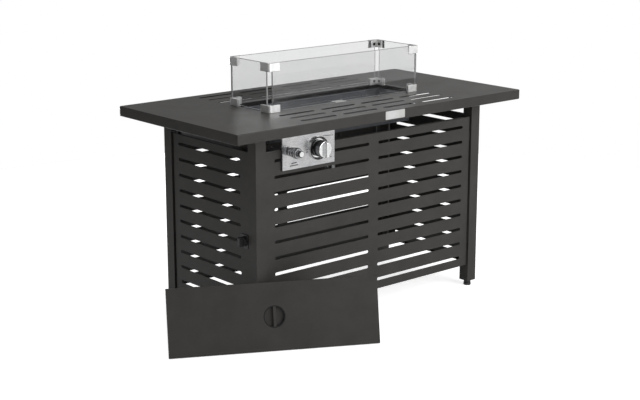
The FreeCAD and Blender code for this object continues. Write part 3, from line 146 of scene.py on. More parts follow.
def burnerSteel():
    # heat-resistant paint on pressed steel: cool grey black, duller than the coat, faint heat haze
    finish, tree, shader, place = startFinish("heat_paint_grey", IOR=1.5)
    haze = addNode(tree, "ShaderNodeTexNoise", Vector=place, Scale=1 / (60 * mm), Detail=4, Roughness=0.65)
    grain = addNode(tree, "ShaderNodeTexNoise", Vector=place, Scale=1 / (0.8 * mm), Detail=2)
    varySurface(tree, shader, haze, ("#484b50", "#54575c"), (0.42, 0.55), grain)
    return finish


# Brushed or turned metal: fine marks, drawn out along the axis whose figure in lines is small.
def linedMetal(name, codes, roughness, lines, anisotropy=0.0):
    finish, tree, shader, place = startFinish(name, Metallic=1.0, Anisotropic=anisotropy)
    squeeze = addNode(tree, "ShaderNodeMapping", Vector=place, Scale=lines)
    streaks = addNode(tree, "ShaderNodeTexNoise", Vector=squeeze, Scale=1 / (1 * mm), Detail=3, Roughness=0.6)
    cloud = addNode(tree, "ShaderNodeTexNoise", Vector=place, Scale=1 / (28 * mm), Detail=3, Roughness=0.55)
    rough = addNode(tree, "ShaderNodeMath", {"operation": "MULTIPLY_ADD"}, input0=streaks, input1=0.14,
                    input2=roughness)
    varySurface(tree, shader, cloud, codes, rough, streaks, 0.006, 0.5)
    return finish


def brushedStainless():
    # stainless 304, brushed along the plate: long scratches every 0.3 mm or so, drawn at 0.6 mm
    return linedMetal("brushed_stainless", ("#c3c2c0", "#cfcecb"), 0.22, (0.02, 1.6, 1.6), 0.35)


def chromePlate():
    # chrome on brass or ABS: clear mirror with hardly any waviness
    finish, tree, shader, place = startFinish("chrome_plate", Metallic=1.0)
    smear = addNode(tree, "ShaderNodeTexNoise", Vector=place, Scale=1 / (9 * mm), Detail=3)
    varySurface(tree, shader, smear, ("#dfe0e1", "#e8e8e8"), (0.06, 0.12))
    return finish


def smokedChrome():
    # dark chrome on the igniter and on the knob's waist: a grey mirror with soft wear
    finish, tree, shader, place = startFinish("smoked_chrome", Metallic=0.9)
    wear = addNode(tree, "ShaderNodeTexNoise", Vector=place, Scale=1 / (6 * mm), Detail=3)
    varySurface(tree, shader, wear, ("#8b8c8e", "#9a9b9c"), (0.18, 0.28))
    return finish


def silverCasting():
    # zinc die casting, tumbled and silver painted: satin, faint cloud and fine grain
    finish, tree, shader, place = startFinish("silver_die_casting", Metallic=0.75, IOR=1.45)
    cloud = addNode(tree, "ShaderNodeTexNoise", Vector=place, Scale=1 / (14 * mm), Detail=3)
    grain = addNode(tree, "ShaderNodeTexNoise", Vector=place, Scale=1 / (0.5 * mm), Detail=2)
    varySurface(tree, shader, cloud, ("#c9cac9", "#d6d6d5"), (0.34, 0.42), grain, 0.015)
    return finish


def clearGlass():
    # tempered soda-lime glass: clear, about 0.8 of the light comes through a pane
    finish, tree, shader, place = startFinish("tempered_glass", IOR=1.5, Transmission_Weight=1.0)
    smear = addNode(tree, "ShaderNodeTexNoise", Vector=place, Scale=1 / (120 * mm), Detail=3)
    varySurface(tree, shader, smear, ("#e6e7e7", "#e9e9e9"), (0.0, 0.012))
    thin = addNode(tree, "ShaderNodeBsdfTransparent", Color=toLinear("#f2f2f2"))
    light = addNode(tree, "ShaderNodeLightPath")
    either = addNode(tree, "ShaderNodeMixShader", Fac=light.outputs["Is Shadow Ray"], input1=shader,
                     input2=thin)
    output = next(node for node in tree.nodes if node.type == "OUTPUT_MATERIAL")
    tree.links.new(either.outputs[0], output.inputs["Surface"])
    return finish


def groundGlass():
    # the same glass with a ground and arrissed edge: grey and soft, with grinding marks of 0.4 mm
    finish, tree, shader, place = startFinish("ground_glass_edge", IOR=1.5, Transmission_Weight=0.35)
    marks = addNode(tree, "ShaderNodeTexNoise", Vector=place, Scale=1 / (0.4 * mm), Detail=2)
    varySurface(tree, shader, marks, ("#858686", "#949594"), (0.3, 0.5), marks, 0.02, 0.5)
    return finish


# Moulded parts: a fine spark-eroded grain, and a slight sheen where hands polish it.
def moulded(name, codes, roughness, grain, coat=0.0):
    finish, tree, shader, place = startFinish(name, IOR=1.5, Coat_Weight=coat, Coat_Roughness=0.15)
    cloud = addNode(tree, "ShaderNodeTexNoise", Vector=place, Scale=1 / (18 * mm), Detail=3)
    sparks = addNode(tree, "ShaderNodeTexNoise", Vector=place, Scale=1 / (grain * mm), Detail=2)
    varySurface(tree, shader, cloud, codes, (roughness - 0.04, roughness + 0.05), sparks, 0.02, 0.5)
    return finish


def brassMachined():
    # leaded brass, turned: fine tool marks just under 1 mm apart, slightly tarnished
    return linedMetal("machined_brass", ("#b8973f", "#c9a855"), 0.2, (1.2, 1.2, 1.2))


def zincPlate():
    # bright zinc plate on steel: bluish grey with small spangles of 4 mm
    finish, tree, shader, place = startFinish("zinc_plate", Metallic=1.0)
    spangle = addNode(tree, "ShaderNodeTexVoronoi", Vector=place, Scale=1 / (4 * mm))
    varySurface(tree, shader, spangle, ("#a9adb1", "#bcc0c3"), (0.28, 0.42))
    return finish


def blackOxide():
    # blackened steel screws: nearly black metal, oily sheen
    return linedMetal("black_oxide_steel", ("#2b2b2c", "#39393a"), 0.26, (2.0, 2.0, 2.0))


def drawnAluminium():
    # soft aluminium gas tube: dull silver with small handling marks
    return linedMetal("drawn_aluminium", ("#b3b5b6", "#c4c6c6"), 0.32, (1.1, 1.1, 1.1))


def barePlate():
    # satin anodised aluminium sheet, left bare: brushed along its length
    return linedMetal("satin_aluminium", ("#aeaeac", "#bababa"), 0.3, (0.03, 1.8, 1.8), 0.25)


def glazedCeramic():
    # glazed alumina insulator: warm white, glossy, faint mottling
    return moulded("glazed_ceramic", ("#e6e1d4", "#efebe1"), 0.16, 3.0, 0.5)


def printedInk():
    # black screen print on the plate: dull, with ragged dots of 0.3 mm
    finish, tree, shader, place = startFinish("screen_print_black", IOR=1.45)
    dots = addNode(tree, "ShaderNodeTexNoise", Vector=place, Scale=1 / (0.3 * mm), Detail=2)
    varySurface(tree, shader, dots, ("#1b1b1c", "#262627"), (0.5, 0.7))
    return finish


finishes = {
    "powder_coat": powderCoat("powder_coat_charcoal", ("#2f2e2c", "#353331")),
    "burner_steel": burnerSteel(),
    "stainless": brushedStainless(),
    "chrome": chromePlate(),
    "silver_casting": silverCasting(),
    "glass": clearGlass(),
    # ABS, moulded with a fine grain
    "black_plastic": moulded("moulded_abs_black", ("#1a1a1b", "#212122"), 0.42, 0.5),
    # phenolic-like plastic of the knob, smoother and glossier
    "knob_plastic": moulded("moulded_knob_black", ("#131314", "#1b1b1c"), 0.3, 0.8, 0.2),
    "zinc_steel": zincPlate(),
    "dark_fastener": blackOxide(),
    "brass": brassMachined(),
    "aluminium_tube": drawnAluminium(),
    "ceramic": glazedCeramic(),
    # silicone sleeve of the leads, matt and slightly dusty
    "lead_sheath": moulded("silicone_sleeve", ("#242424", "#2e2e2d"), 0.62, 0.7),
    "bare_plate": barePlate(),
}
glassEdge, ink, darkChrome = groundGlass(), printedInk(), smokedChrome()
# painted shade: a nearly black coat stands in for the shade on the ledge round the burner and in the gap
# round the lid's cup
shadeBlackCoat = powderCoat("powder_coat_painted_shade_black", ("#0e0e0f", "#131313"))
# bright annealed sheet of the control tray, a shade darker than the brushed pieces
traySteel = linedMetal("bright_tray_steel", ("#a3a3a4", "#afafb0"), 0.2, (0.02, 1.6, 1.6), 0.35)
for name, node in nodes.items():
    node.data.materials.clear()
    node.data.materials.append(finishes[finishOf[name]])
print("finishes:", ", ".join(finishes))

# Mesh helpers


def newPiece(name, mesh, finish):
    if isinstance(mesh, bmesh.types.BMesh):
        data = bpy.data.meshes.new(name)
        mesh.to_mesh(data)
        mesh.free()
        mesh = data
    piece = bpy.data.objects.new(name, mesh)
    bpy.context.scene.collection.objects.link(piece)
    piece.data.materials.clear()
    piece.data.materials.append(finish)
    return piece


# Runs the modifiers and leaves a plain mesh, so that nothing is live when a body takes the piece.
def bake(piece):
    graph = bpy.context.evaluated_depsgraph_get()
    mesh = bpy.data.meshes.new_from_object(piece.evaluated_get(graph), depsgraph=graph)
    piece.modifiers.clear()
    piece.data = mesh
    return piece


# Rounds the edges that are sharper than the angle and keeps the flats flat.
def soften(piece, width, segments=2, angle=40):
    piece.data.polygons.foreach_set("use_smooth", [True] * len(piece.data.polygons))
    piece.data.set_sharp_from_angle(angle=math.radians(angle))
    if width:
        edges = piece.modifiers.new("edges", "BEVEL")
        edges.width = width * mm
        edges.segments = segments
        edges.limit_method = "ANGLE"
        edges.angle_limit = math.radians(angle)
    flats = piece.modifiers.new("flats", "WEIGHTED_NORMAL")
    flats.keep_sharp = True
    return bake(piece)


def settle(piece, *replaced, body=None):
    if replaced:
        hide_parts(*replaced)
    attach(piece, body or bodyOf[replaced[0]])
    return piece


# A copy of a CAD node with its triangles joined into whole faces.
def wholeFaces(node):
    mesh = bmesh.new()
    mesh.from_mesh(nodes[node].data)
    bmesh.ops.remove_doubles(mesh, verts=mesh.verts, dist=weldGap * mm)
    bmesh.ops.dissolve_limit(mesh, angle_limit=math.radians(flatWithin), verts=mesh.verts, edges=mesh.edges)
    return mesh


def boxMesh(low, high):
    mesh = bmesh.new()
    bmesh.ops.create_cube(mesh, size=1)
    for vert in mesh.verts:
        vert.co = Vector([a + (b - a) * (c + 0.5) for a, b, c in zip(low, high, vert.co)])
    return mesh


def dress(node, width):
    piece = newPiece(node + "_dressed", wholeFaces(node), finishes[finishOf[node]])
    return settle(soften(piece, width), node)


# A ring of points round a rectangle with round corners, anticlockwise from +X.
def rectangleRing(halfX, halfY, radius, steps=5):
    ring = []
    for number, (signX, signY) in enumerate(((1, 1), (-1, 1), (-1, -1), (1, -1))):
        for step in range(steps + 1):
            turn = math.radians(90 * (number + step / steps))
            ring.append((signX * (halfX - radius) + radius * math.cos(turn),
                         signY * (halfY - radius) + radius * math.sin(turn)))
    return ring


def circleRing(radius, count):
    turns = [math.tau * n / count for n in range(count)]
    return [(radius * math.cos(turn), radius * math.sin(turn)) for turn in turns]


# Joins rings of equal count, each given as (ring, height), into a closed skin.
def loft(levels, place, closed=True, caps=False):
    mesh = bmesh.new()
    rows = [[mesh.verts.new(place(x, y, height)) for x, y in ring] for ring, height in levels]
    count = len(rows[0])
    pairs = list(zip(rows, rows[1:])) + ([(rows[-1], rows[0])] if closed else [])
    for lower, upper in pairs:
        for n in range(count):
            mesh.faces.new((lower[n], lower[(n + 1) % count], upper[(n + 1) % count], upper[n]))
    if caps:
        mesh.faces.new(list(reversed(rows[0])))
        mesh.faces.new(rows[-1])
    bmesh.ops.recalc_face_normals(mesh, faces=mesh.faces)
    return mesh


# Insets and rises along a quarter bend of sheet, from flat to upright.
def quarterBend(radius, steps=4):
    turns = [math.radians(90 * n / steps) for n in range(steps + 1)]
    return [(radius * (1 - math.sin(a)), radius * (1 - math.cos(a))) for a in turns]


# The box of each separate solid of a CAD node, in the order of its points, which is the same every run.
def islandBoxes(node):
    mesh = bmesh.new()
    mesh.from_mesh(nodes[node].data)
    bmesh.ops.remove_doubles(mesh, verts=mesh.verts, dist=weldGap * mm)
    met, boxes = set(), []
    for first in mesh.verts:
        if first in met:
            continue
        met.add(first)
        stack, island = [first], []
        while stack:
            vert = stack.pop()
            island.append(vert.co.copy())
            for edge in vert.link_edges:
                other = edge.other_vert(vert)
                if other not in met:
                    met.add(other)
                    stack.append(other)
        boxes.append(tuple(Vector([pick(point[axis] for point in island) for axis in range(3)])
                           for pick in (min, max)))
    mesh.free()
    return boxes


# Node trees of what repeats


def startTree(name, sizes):
    tree = bpy.data.node_groups.new(name, "GeometryNodeTree")
    tree.interface.new_socket("Geometry", in_out="OUTPUT", socket_type="NodeSocketGeometry")
    tree.interface.new_socket("Geometry", in_out="INPUT", socket_type="NodeSocketGeometry")
    kinds = {float: "NodeSocketFloat", int: "NodeSocketInt", tuple: "NodeSocketVector"}
    for label, value in sizes.items():
        kind = "NodeSocketMaterial" if value is None else kinds[type(value)]
        socket = tree.interface.new_socket(label, in_out="INPUT", socket_type=kind)
        if value is not None:
            socket.default_value = value
    return tree, addNode(tree, "NodeGroupInput").outputs


def endTree(tree, geometry, finish):
    real = addNode(tree, "GeometryNodeRealizeInstances", Geometry=geometry)
    coated = addNode(tree, "GeometryNodeSetMaterial", Geometry=real, Material=finish)
    addNode(tree, "NodeGroupOutput", Geometry=coated)
    return tree


# Gives a piece the tree with these sizes, and takes its result as a plain mesh.
def grow(piece, tree, **sizes):
    run = piece.modifiers.new(tree.name, "NODES")
    run.node_group = tree
    identifiers = {item.name: item.identifier for item in tree.interface.items_tree if item.in_out == "INPUT"}
    for label, value in sizes.items():
        run[identifiers[label.replace("_", " ")]] = tuple(value) if isinstance(value, Vector) else value
    return bake(piece)


# Cuts a field of round-ended slots through a sheet. The grid lies in X and Y and is then turned.
def slottedSheetTree():
    tree, size = startTree("slotted sheet", {
        "Slot Length": 0.1, "Slot Width": 0.01, "Columns": 1, "Rows": 1, "Column Step": 0.1,
        "Row Step": 0.1, "Middle": (0.0, 0.0, 0.0), "Turn": (0.0, 0.0, 0.0), "Depth": 0.02, "Finish": None,
    })
    outline = addNode(tree, "GeometryNodeCurvePrimitiveQuadrilateral", Width=size["Slot Length"],
                      Height=size["Slot Width"])
    # a hair under half the width, so that the two bends of an end never meet
    radius = addNode(tree, "ShaderNodeMath", {"operation": "MULTIPLY"}, input0=size["Slot Width"],
                     input1=0.4999)
    ends = addNode(tree, "GeometryNodeFilletCurve", {"mode": "POLY"}, Curve=outline, Count=7, Radius=radius)
    face = addNode(tree, "GeometryNodeFillCurve", {"mode": "NGONS"}, Curve=ends)
    plug = addNode(tree, "GeometryNodeExtrudeMesh", Mesh=face, Offset_Scale=size["Depth"])
    floor = addNode(tree, "GeometryNodeFlipFaces", Mesh=face)
    both = addNode(tree, "GeometryNodeJoinGeometry")
    for part in (plug, floor):
        tree.links.new(part.outputs[0], both.inputs[0])
    whole = addNode(tree, "GeometryNodeMergeByDistance", Geometry=both, Distance=1e-6)
    half = addNode(tree, "ShaderNodeMath", {"operation": "MULTIPLY"}, input0=size["Depth"], input1=-0.5)
    drop = addNode(tree, "ShaderNodeCombineXYZ", Z=half)
    centred = addNode(tree, "GeometryNodeTransform", Geometry=whole, Translation=drop)
    spans = []
    for count, step in (("Columns", "Column Step"), ("Rows", "Row Step")):
        gaps = addNode(tree, "ShaderNodeMath", {"operation": "SUBTRACT"}, input0=size[count], input1=1.0)
        spans.append(addNode(tree, "ShaderNodeMath", {"operation": "MULTIPLY"}, input0=gaps,
                             input1=size[step]))
    grid = addNode(tree, "GeometryNodeMeshGrid", Size_X=spans[0], Size_Y=spans[1], Vertices_X=size["Columns"],
                   Vertices_Y=size["Rows"])
    field = addNode(tree, "GeometryNodeInstanceOnPoints", Points=grid, Instance=centred)
    placed = addNode(tree, "GeometryNodeTransform", Geometry=field, Translation=size["Middle"],
                     Rotation=size["Turn"])
    cutters = addNode(tree, "GeometryNodeRealizeInstances", Geometry=placed)
    cut = addNode(tree, "GeometryNodeMeshBoolean", {"operation": "DIFFERENCE", "solver": "EXACT"},
                  Mesh_1=size["Geometry"], Mesh_2=cutters)
    return endTree(tree, cut, size["Finish"])


# Sets a turned head, with a socket, and its shank on every point. A hexagon makes a nut.
def fastenerTree():
    tree, size = startTree("fastener", {
        "Sides": 24, "Head Radius": 0.004, "Head Height": 0.002, "Crown": 0.8, "Socket Sides": 6,
        "Socket Radius": 0.001, "Socket Depth": 0.001, "Shank Radius": 0.002, "Shank Length": 0.01,
        "Washer Radius": 0.001, "Washer Height": 0.0005, "Finish": None,
    })
    # head: a straight skirt with a narrower crown on it
    skirtHeight = addNode(tree, "ShaderNodeMath", {"operation": "MULTIPLY"}, input0=size["Head Height"],
                          input1=0.6)
    crownHeight = addNode(tree, "ShaderNodeMath", {"operation": "MULTIPLY"}, input0=size["Head Height"],
                          input1=0.4)
    crownRadius = addNode(tree, "ShaderNodeMath", {"operation": "MULTIPLY"}, input0=size["Head Radius"],
                          input1=size["Crown"])

    def turnedPart(sides, lowRadius, highRadius, height, lift):
        part = addNode(tree, "GeometryNodeMeshCone", Vertices=sides, Radius_Top=highRadius,
                       Radius_Bottom=lowRadius, Depth=height)
        rise = addNode(tree, "ShaderNodeCombineXYZ", Z=lift)
        return addNode(tree, "GeometryNodeTransform", Geometry=part, Translation=rise)

    skirt = turnedPart(size["Sides"], size["Head Radius"], size["Head Radius"], skirtHeight, 0.0)
    crown = turnedPart(size["Sides"], size["Head Radius"], crownRadius, crownHeight, skirtHeight)
    head = addNode(tree, "GeometryNodeMeshBoolean", {"operation": "UNION", "solver": "EXACT"})
    for part in (skirt, crown):
        tree.links.new(part.outputs[0], head.inputs["Mesh 2"])
    # socket: a cutter that reaches as far above the head as it goes into it
    socketLift = addNode(tree, "ShaderNodeMath", {"operation": "SUBTRACT"}, input0=size["Head Height"],
                         input1=size["Socket Depth"])
    socketHeight = addNode(tree, "ShaderNodeMath", {"operation": "MULTIPLY"}, input0=size["Socket Depth"],
                           input1=2.0)
    socket = turnedPart(size["Socket Sides"], size["Socket Radius"], size["Socket Radius"], socketHeight,
                        socketLift)
    hollow = addNode(tree, "GeometryNodeMeshBoolean", {"operation": "DIFFERENCE", "solver": "EXACT"},
                     Mesh_1=head, Mesh_2=socket)
    below = addNode(tree, "ShaderNodeMath", {"operation": "MULTIPLY"}, input0=size["Shank Length"],
                    input1=-1.0)
    shank = turnedPart(16, size["Shank Radius"], size["Shank Radius"], size["Shank Length"], below)
    washer = turnedPart(32, size["Washer Radius"], size["Washer Radius"], size["Washer Height"], 0.0)
    parts = addNode(tree, "GeometryNodeJoinGeometry")
    for part in (hollow, shank, washer):
        tree.links.new(part.outputs[0], parts.inputs[0])
    facing = addNode(tree, "GeometryNodeInputNamedAttribute", {"data_type": "FLOAT_VECTOR"}, Name="facing")
    aim = addNode(tree, "FunctionNodeAlignRotationToVector", {"axis": "Z"}, Vector=facing)
    placed = addNode(tree, "GeometryNodeInstanceOnPoints", Points=size["Geometry"], Instance=parts,
                     Rotation=aim)
    return endTree(tree, placed, size["Finish"])


# One band of small ribs round an axis along Y, for a knurled grip.
def knurlTree():
    tree, size = startTree("knurl", {
        "Count": 30, "Radius": 0.012, "Rib": (0.001, 0.004, 0.0006), "Middle": (0.0, 0.0, 0.0),
        "Finish": None,
    })
    circle = addNode(tree, "GeometryNodeMeshCircle", Vertices=size["Count"], Radius=size["Radius"])
    outwards = addNode(tree, "FunctionNodeAlignRotationToVector", {"axis": "X"},
                       Vector=addNode(tree, "GeometryNodeInputPosition"))
    # the circle lies in X and Y, and a rib's length stands along Z until the band is turned to Y
    thick, long, wide = addNode(tree, "ShaderNodeSeparateXYZ", Vector=size["Rib"]).outputs
    shape = addNode(tree, "ShaderNodeCombineXYZ", X=thick, Y=wide, Z=long)
    rib = addNode(tree, "GeometryNodeMeshCube", Size=shape)
    band = addNode(tree, "GeometryNodeInstanceOnPoints", Points=circle, Instance=rib, Rotation=outwards)
    placed = addNode(tree, "GeometryNodeTransform", Geometry=band, Translation=size["Middle"],
                     Rotation=(math.radians(90), 0, 0))
    both = addNode(tree, "GeometryNodeJoinGeometry")
    for source in (placed.outputs[0], size["Geometry"]):
        tree.links.new(source, both.inputs[0])
    return endTree(tree, both, size["Finish"])


slottedSheet, fastener, knurl = slottedSheetTree(), fastenerTree(), knurlTree()
print("node trees: slotted sheet, fastener, knurl")

# Tabletop: folded sheet with a skirt, a turned-in lip, the burner opening and six rows of slots

tabletop = {
    "halfX": 546, "halfY": 280, "top": 620.5, "bottom": 591, "sheet": 1.5, "lip": 10,
    "cornerRadius": 4, "foldRadius": 2.6, "openingX": 289, "openingY": 84.5, "openingRadius": 2.5,
    "slotLength": 127, "slotWidth": 14, "columns": 4, "columnStep": 153.5,
    "rows": 3, "rowFirst": 141, "rowStep": 47.5, "cutDepth": 10, "edge": 0.35,
}


# From the lip's edge round the outside to the opening, and back along the inside.
def skirtLevels(size):
    low, high, sheet, lip = size["bottom"], size["top"], size["sheet"], size["lip"]
    wide = quarterBend(size["foldRadius"])
    tight = quarterBend(size["foldRadius"] - sheet, 3)

    def ring(inset):
        return rectangleRing(size["halfX"] - inset, size["halfY"] - inset,
                             max(size["cornerRadius"] - inset, 0.3))

    opening = rectangleRing(size["openingX"], size["openingY"], size["openingRadius"])
    levels = [(ring(lip), low)] + [(ring(inset), low + rise) for inset, rise in wide]
    levels += [(ring(inset), high - rise) for inset, rise in reversed(wide)]
    levels += [(opening, high), (opening, high - sheet)]
    levels += [(ring(sheet + inset), high - sheet - rise) for inset, rise in tight]
    levels += [(ring(sheet + inset), low + sheet + rise) for inset, rise in reversed(tight)]
    return levels + [(ring(lip), low + sheet)]


top = newPiece("tabletop_sheet", loft(skirtLevels(tabletop), at), finishes["powder_coat"])
for side in (-1, 1):
    rowMiddle = side * (tabletop["rowFirst"] + (tabletop["rows"] - 1) / 2 * tabletop["rowStep"])
    grow(top, slottedSheet, Slot_Length=tabletop["slotLength"] * mm, Slot_Width=tabletop["slotWidth"] * mm,
         Columns=tabletop["columns"], Rows=tabletop["rows"], Column_Step=tabletop["columnStep"] * mm,
         Row_Step=tabletop["rowStep"] * mm, Middle=at(0, rowMiddle, tabletop["top"]),
         Depth=tabletop["cutDepth"] * mm, Finish=finishes["powder_coat"])
settle(soften(top, tabletop["edge"], angle=50), "tabletop")

# the welded studs, one above each nut
studs = {"radius": 3, "bottom": 607.5, "chamfer": 0.5}
for low, high in islandBoxes("top_nuts"):
    x, y = (low.x + high.x) / 2 - middle.x, (low.y + high.y) / 2 - middle.y
    levels = [(circleRing(studs["radius"] - inset, 24), z) for inset, z in (
        (studs["chamfer"], studs["bottom"]), (0, studs["bottom"] + studs["chamfer"]),
        (0, tabletop["top"] - tabletop["sheet"]))]
    mesh = loft(levels, lambda a, b, z: at(x / mm + a, y / mm + b, z), closed=False, caps=True)
    stud = newPiece("tabletop_stud", mesh, finishes["powder_coat"])
    settle(soften(stud, 0, angle=50), "tabletop")
print("tabletop:", len(top.data.polygons), "faces")

# Slatted panels


# A sheet folded back at its lower and upper edge, drawn in depth and height and drawn out along it.
def foldedPanel(size, place):
    sheet, fold, low, high = size["sheet"], size["fold"], size["bottom"], size["top"]
    wide = quarterBend(size["foldRadius"])
    tight = quarterBend(size["foldRadius"] - sheet, 3)
    outline = [(fold, low)] + [(depth, low + rise) for depth, rise in wide]
    outline += [(depth, high - rise) for depth, rise in reversed(wide)]
    outline += [(fold, high), (fold, high - sheet)]
    outline += [(sheet + depth, high - sheet - rise) for depth, rise in tight]
    outline += [(sheet + depth, low + sheet + rise) for depth, rise in reversed(tight)]
    outline.append((fold, low + sheet))
    mesh = bmesh.new()
    ends = [[mesh.verts.new(place(along, depth, height)) for depth, height in outline]
            for along in (size["start"], size["end"])]
    for n in range(len(outline)):
        following = (n + 1) % len(outline)
        mesh.faces.new((ends[0][n], ends[0][following], ends[1][following], ends[1][n]))
    mesh.faces.new(ends[0])
    mesh.faces.new(list(reversed(ends[1])))
    bmesh.ops.recalc_face_normals(mesh, faces=mesh.faces)
    return mesh


panel = {
    "sheet": 1.2, "fold": 10, "foldRadius": 2.2, "bottom": 70.5, "top": 544, "faceX": 431.3, "faceY": 210.8,
    "longHalf": 398, "endHalf": 177.5, "slotWidth": 9, "longSlot": 350, "longStep": 386.4,
    "endSlot": 292, "rows": 10, "slotFirst": 100.8, "slotStep": 46, "cutDepth": 8, "edge": 0.3,
    "notchLeft": -341.5, "notchWidth": 182.5, "notchBottom": 500, "notchDepth": 15, "over": 5,
}
door = {
    "faceX": 432.5, "front": -177, "rear": 176.5, "foldDepth": 25, "hem": 8, "shift": 5,
}
slotMiddle = panel["slotFirst"] + (panel["rows"] - 1) / 2 * panel["slotStep"]
uprightLong = (math.radians(90), 0, 0)
uprightEnd = (math.radians(90), 0, math.radians(90))


def carve(piece, low, high):
    tool = newPiece("cutting_tool", boxMesh(low, high), finishes["powder_coat"])
    cut = piece.modifiers.new("carve", "BOOLEAN")
    cut.object = tool
    cut.solver = "EXACT"
    bake(piece)
    bpy.data.objects.remove(tool)


def slatted(node, place, columns, columnStep, length, middlePoint, turn, extra=None):
    span = panel["longHalf"] if columns == 2 else panel["endHalf"]
    size = {**panel, "start": -span, "end": span, **(extra or {})}
    piece = newPiece(node + "_sheet", foldedPanel(size, place), finishes["powder_coat"])
    if node == "front_panel":
        low = at(panel["notchLeft"], -panel["faceY"] - panel["over"], panel["notchBottom"])
        high = at(panel["notchLeft"] + panel["notchWidth"], -panel["faceY"] + panel["notchDepth"],
                  panel["top"] + panel["over"])
        carve(piece, low, high)
    grow(piece, slottedSheet, Slot_Length=length * mm, Slot_Width=panel["slotWidth"] * mm, Columns=columns,
         Rows=panel["rows"], Column_Step=columnStep * mm, Row_Step=panel["slotStep"] * mm,
         Middle=middlePoint, Turn=turn, Depth=panel["cutDepth"] * mm, Finish=finishes["powder_coat"])
    return piece


for side, node in ((-1, "front_panel"), (1, "rear_panel")):
    piece = slatted(node, lambda along, depth, height: at(along, side * (panel["faceY"] - depth), height), 2,
                    panel["longStep"], panel["longSlot"], at(0, side * panel["faceY"], slotMiddle),
                    uprightLong)
    settle(soften(piece, panel["edge"], angle=50), node)
piece = slatted("right_panel", lambda along, depth, height: at(panel["faceX"] - depth, along, height), 1, 0.0,
                panel["endSlot"], at(panel["faceX"], 0, slotMiddle), uprightEnd)
settle(soften(piece, panel["edge"], angle=50), "right_panel")

# the door: deeper folds, and a narrow hem up each side
piece = slatted("door_panel", lambda along, depth, height: at(-door["faceX"] + depth, along, height), 1, 0.0,
                panel["endSlot"], at(-door["faceX"], door["shift"], slotMiddle), uprightEnd,
                {"fold": door["foldDepth"], "start": door["front"], "end": door["rear"]})
mesh = bmesh.new()
mesh.from_mesh(piece.data)
for edge, sign in ((door["front"], 1), (door["rear"], -1)):
    hem = [(0, 0), (door["hem"], 0), (door["hem"], panel["sheet"]), (0, panel["sheet"])]
    low, high = panel["bottom"] + panel["foldRadius"], panel["top"] - panel["foldRadius"]
    rows = [[mesh.verts.new(at(-door["faceX"] + depth, edge + sign * inward, z)) for depth, inward in hem]
            for z in (low, high)]
    faces = [mesh.faces.new((rows[0][n], rows[0][(n + 1) % 4], rows[1][(n + 1) % 4], rows[1][n]))
             for n in range(4)]
    faces += [mesh.faces.new(rows[0]), mesh.faces.new(list(reversed(rows[1])))]
    bmesh.ops.recalc_face_normals(mesh, faces=faces)
mesh.to_mesh(piece.data)
mesh.free()
settle(soften(piece, panel["edge"], angle=50), "door_panel")
print("slatted panels and door")

# Frame, burner and small parts that keep the CAD form, with real edge radii

edgeRadii = {
    "post_front_left": 2.2, "post_front_right": 2.2, "post_rear_left": 2.2, "post_rear_right": 2.2,
    "rail_front": 1.6, "rail_rear": 1.6, "rail_left": 1.6, "rail_right": 1.6,
    "panel_tabs": 0.4, "hinge_brackets": 0.4, "latch_strike": 0.3, "name_plate": 0.25,
    "burner_pan": 0.4, "burner_saddles": 0.3, "burner_tube": 0.3, "air_mixer": 0.5, "flame_cage": 0.3,
    "guard_brackets_low": 0.9, "guard_brackets_high": 0.9, "guard_clamps": 0.5,
    "igniter_nut": 0.5, "latch_base": 0.8, "latch_knob": 0.9, "latch_cam": 0.4, "hinge_pins": 0.3,
    "valve_body": 0.4, "valve_plug": 0.3, "valve_stem": 0.3, "gas_inlet": 0.4, "gas_pipe": 0,
    "ignition_electrode": 0.2, "thermocouple": 0.2, "ignition_lead": 0, "thermocouple_lead": 0,
    "foot_inserts": 0.4, "control_plate": 0.6, "lid_shell": 1.2, "lid_cup": 0.6, "lid_grip": 0.8,
    "foot_front_left": 0.8, "foot_front_right": 0.8, "foot_rear_left": 0.8, "foot_rear_right": 0.8,
    "burner_ring": 0.6,
}
dressed = {name: dress(name, width) for name, width in edgeRadii.items()}
# painted shade: the burner ring takes the nearly black coat, standing in for the shade along the opening's
# edge
dressed["burner_ring"].data.materials[0] = shadeBlackCoat
dressed["control_plate"].data.materials[0] = traySteel

# painted shadow: a nearly black ring, drawn on the leaning face, stands in for the shade in the gap round the
# lid's cup
lid = {
    "turn": -28.2, "lean": 13.8, "along": -535.4, "gap": 1.3, "height": 189.5, "middleX": 294.5,
    "middleZ": 94.75, "face": 12.02, "postX": -436.5, "postY": -216, "inner": 27.9, "outer": 30.9,
    "steps": 96,
}
turn, lean = math.radians(lid["turn"]), math.radians(lid["lean"])
side = Vector((math.cos(turn), math.sin(turn), 0))
outward = Vector((math.sin(turn), -math.cos(turn), 0))
rise = Vector((0, 0, math.cos(lean))) - outward * math.sin(lean)
faceward = outward * math.cos(lean) + Vector((0, 0, math.sin(lean)))
standOff = Vector((lid["postX"], lid["postY"], 0)).dot(outward) + lid["height"] * math.sin(lean) + lid["gap"]
cupMiddle = (side * (lid["along"] + lid["middleX"]) + outward * standOff + rise * lid["middleZ"]
             + faceward * lid["face"])
levels = [(circleRing(lid[edge], lid["steps"]), 0) for edge in ("inner", "outer")]
mesh = loft(levels, lambda x, y, height: at(*(cupMiddle + side * x + rise * y)), closed=False)
if sum(face.normal.dot(faceward) for face in mesh.faces) < 0:
    bmesh.ops.reverse_faces(mesh, faces=mesh.faces)
settle(newPiece("lid_cup_painted_shadow", mesh, shadeBlackCoat), body=bodyOf["lid_cup"])
print("pieces with real edges:", len(dressed))

# Glass panes with ground edges

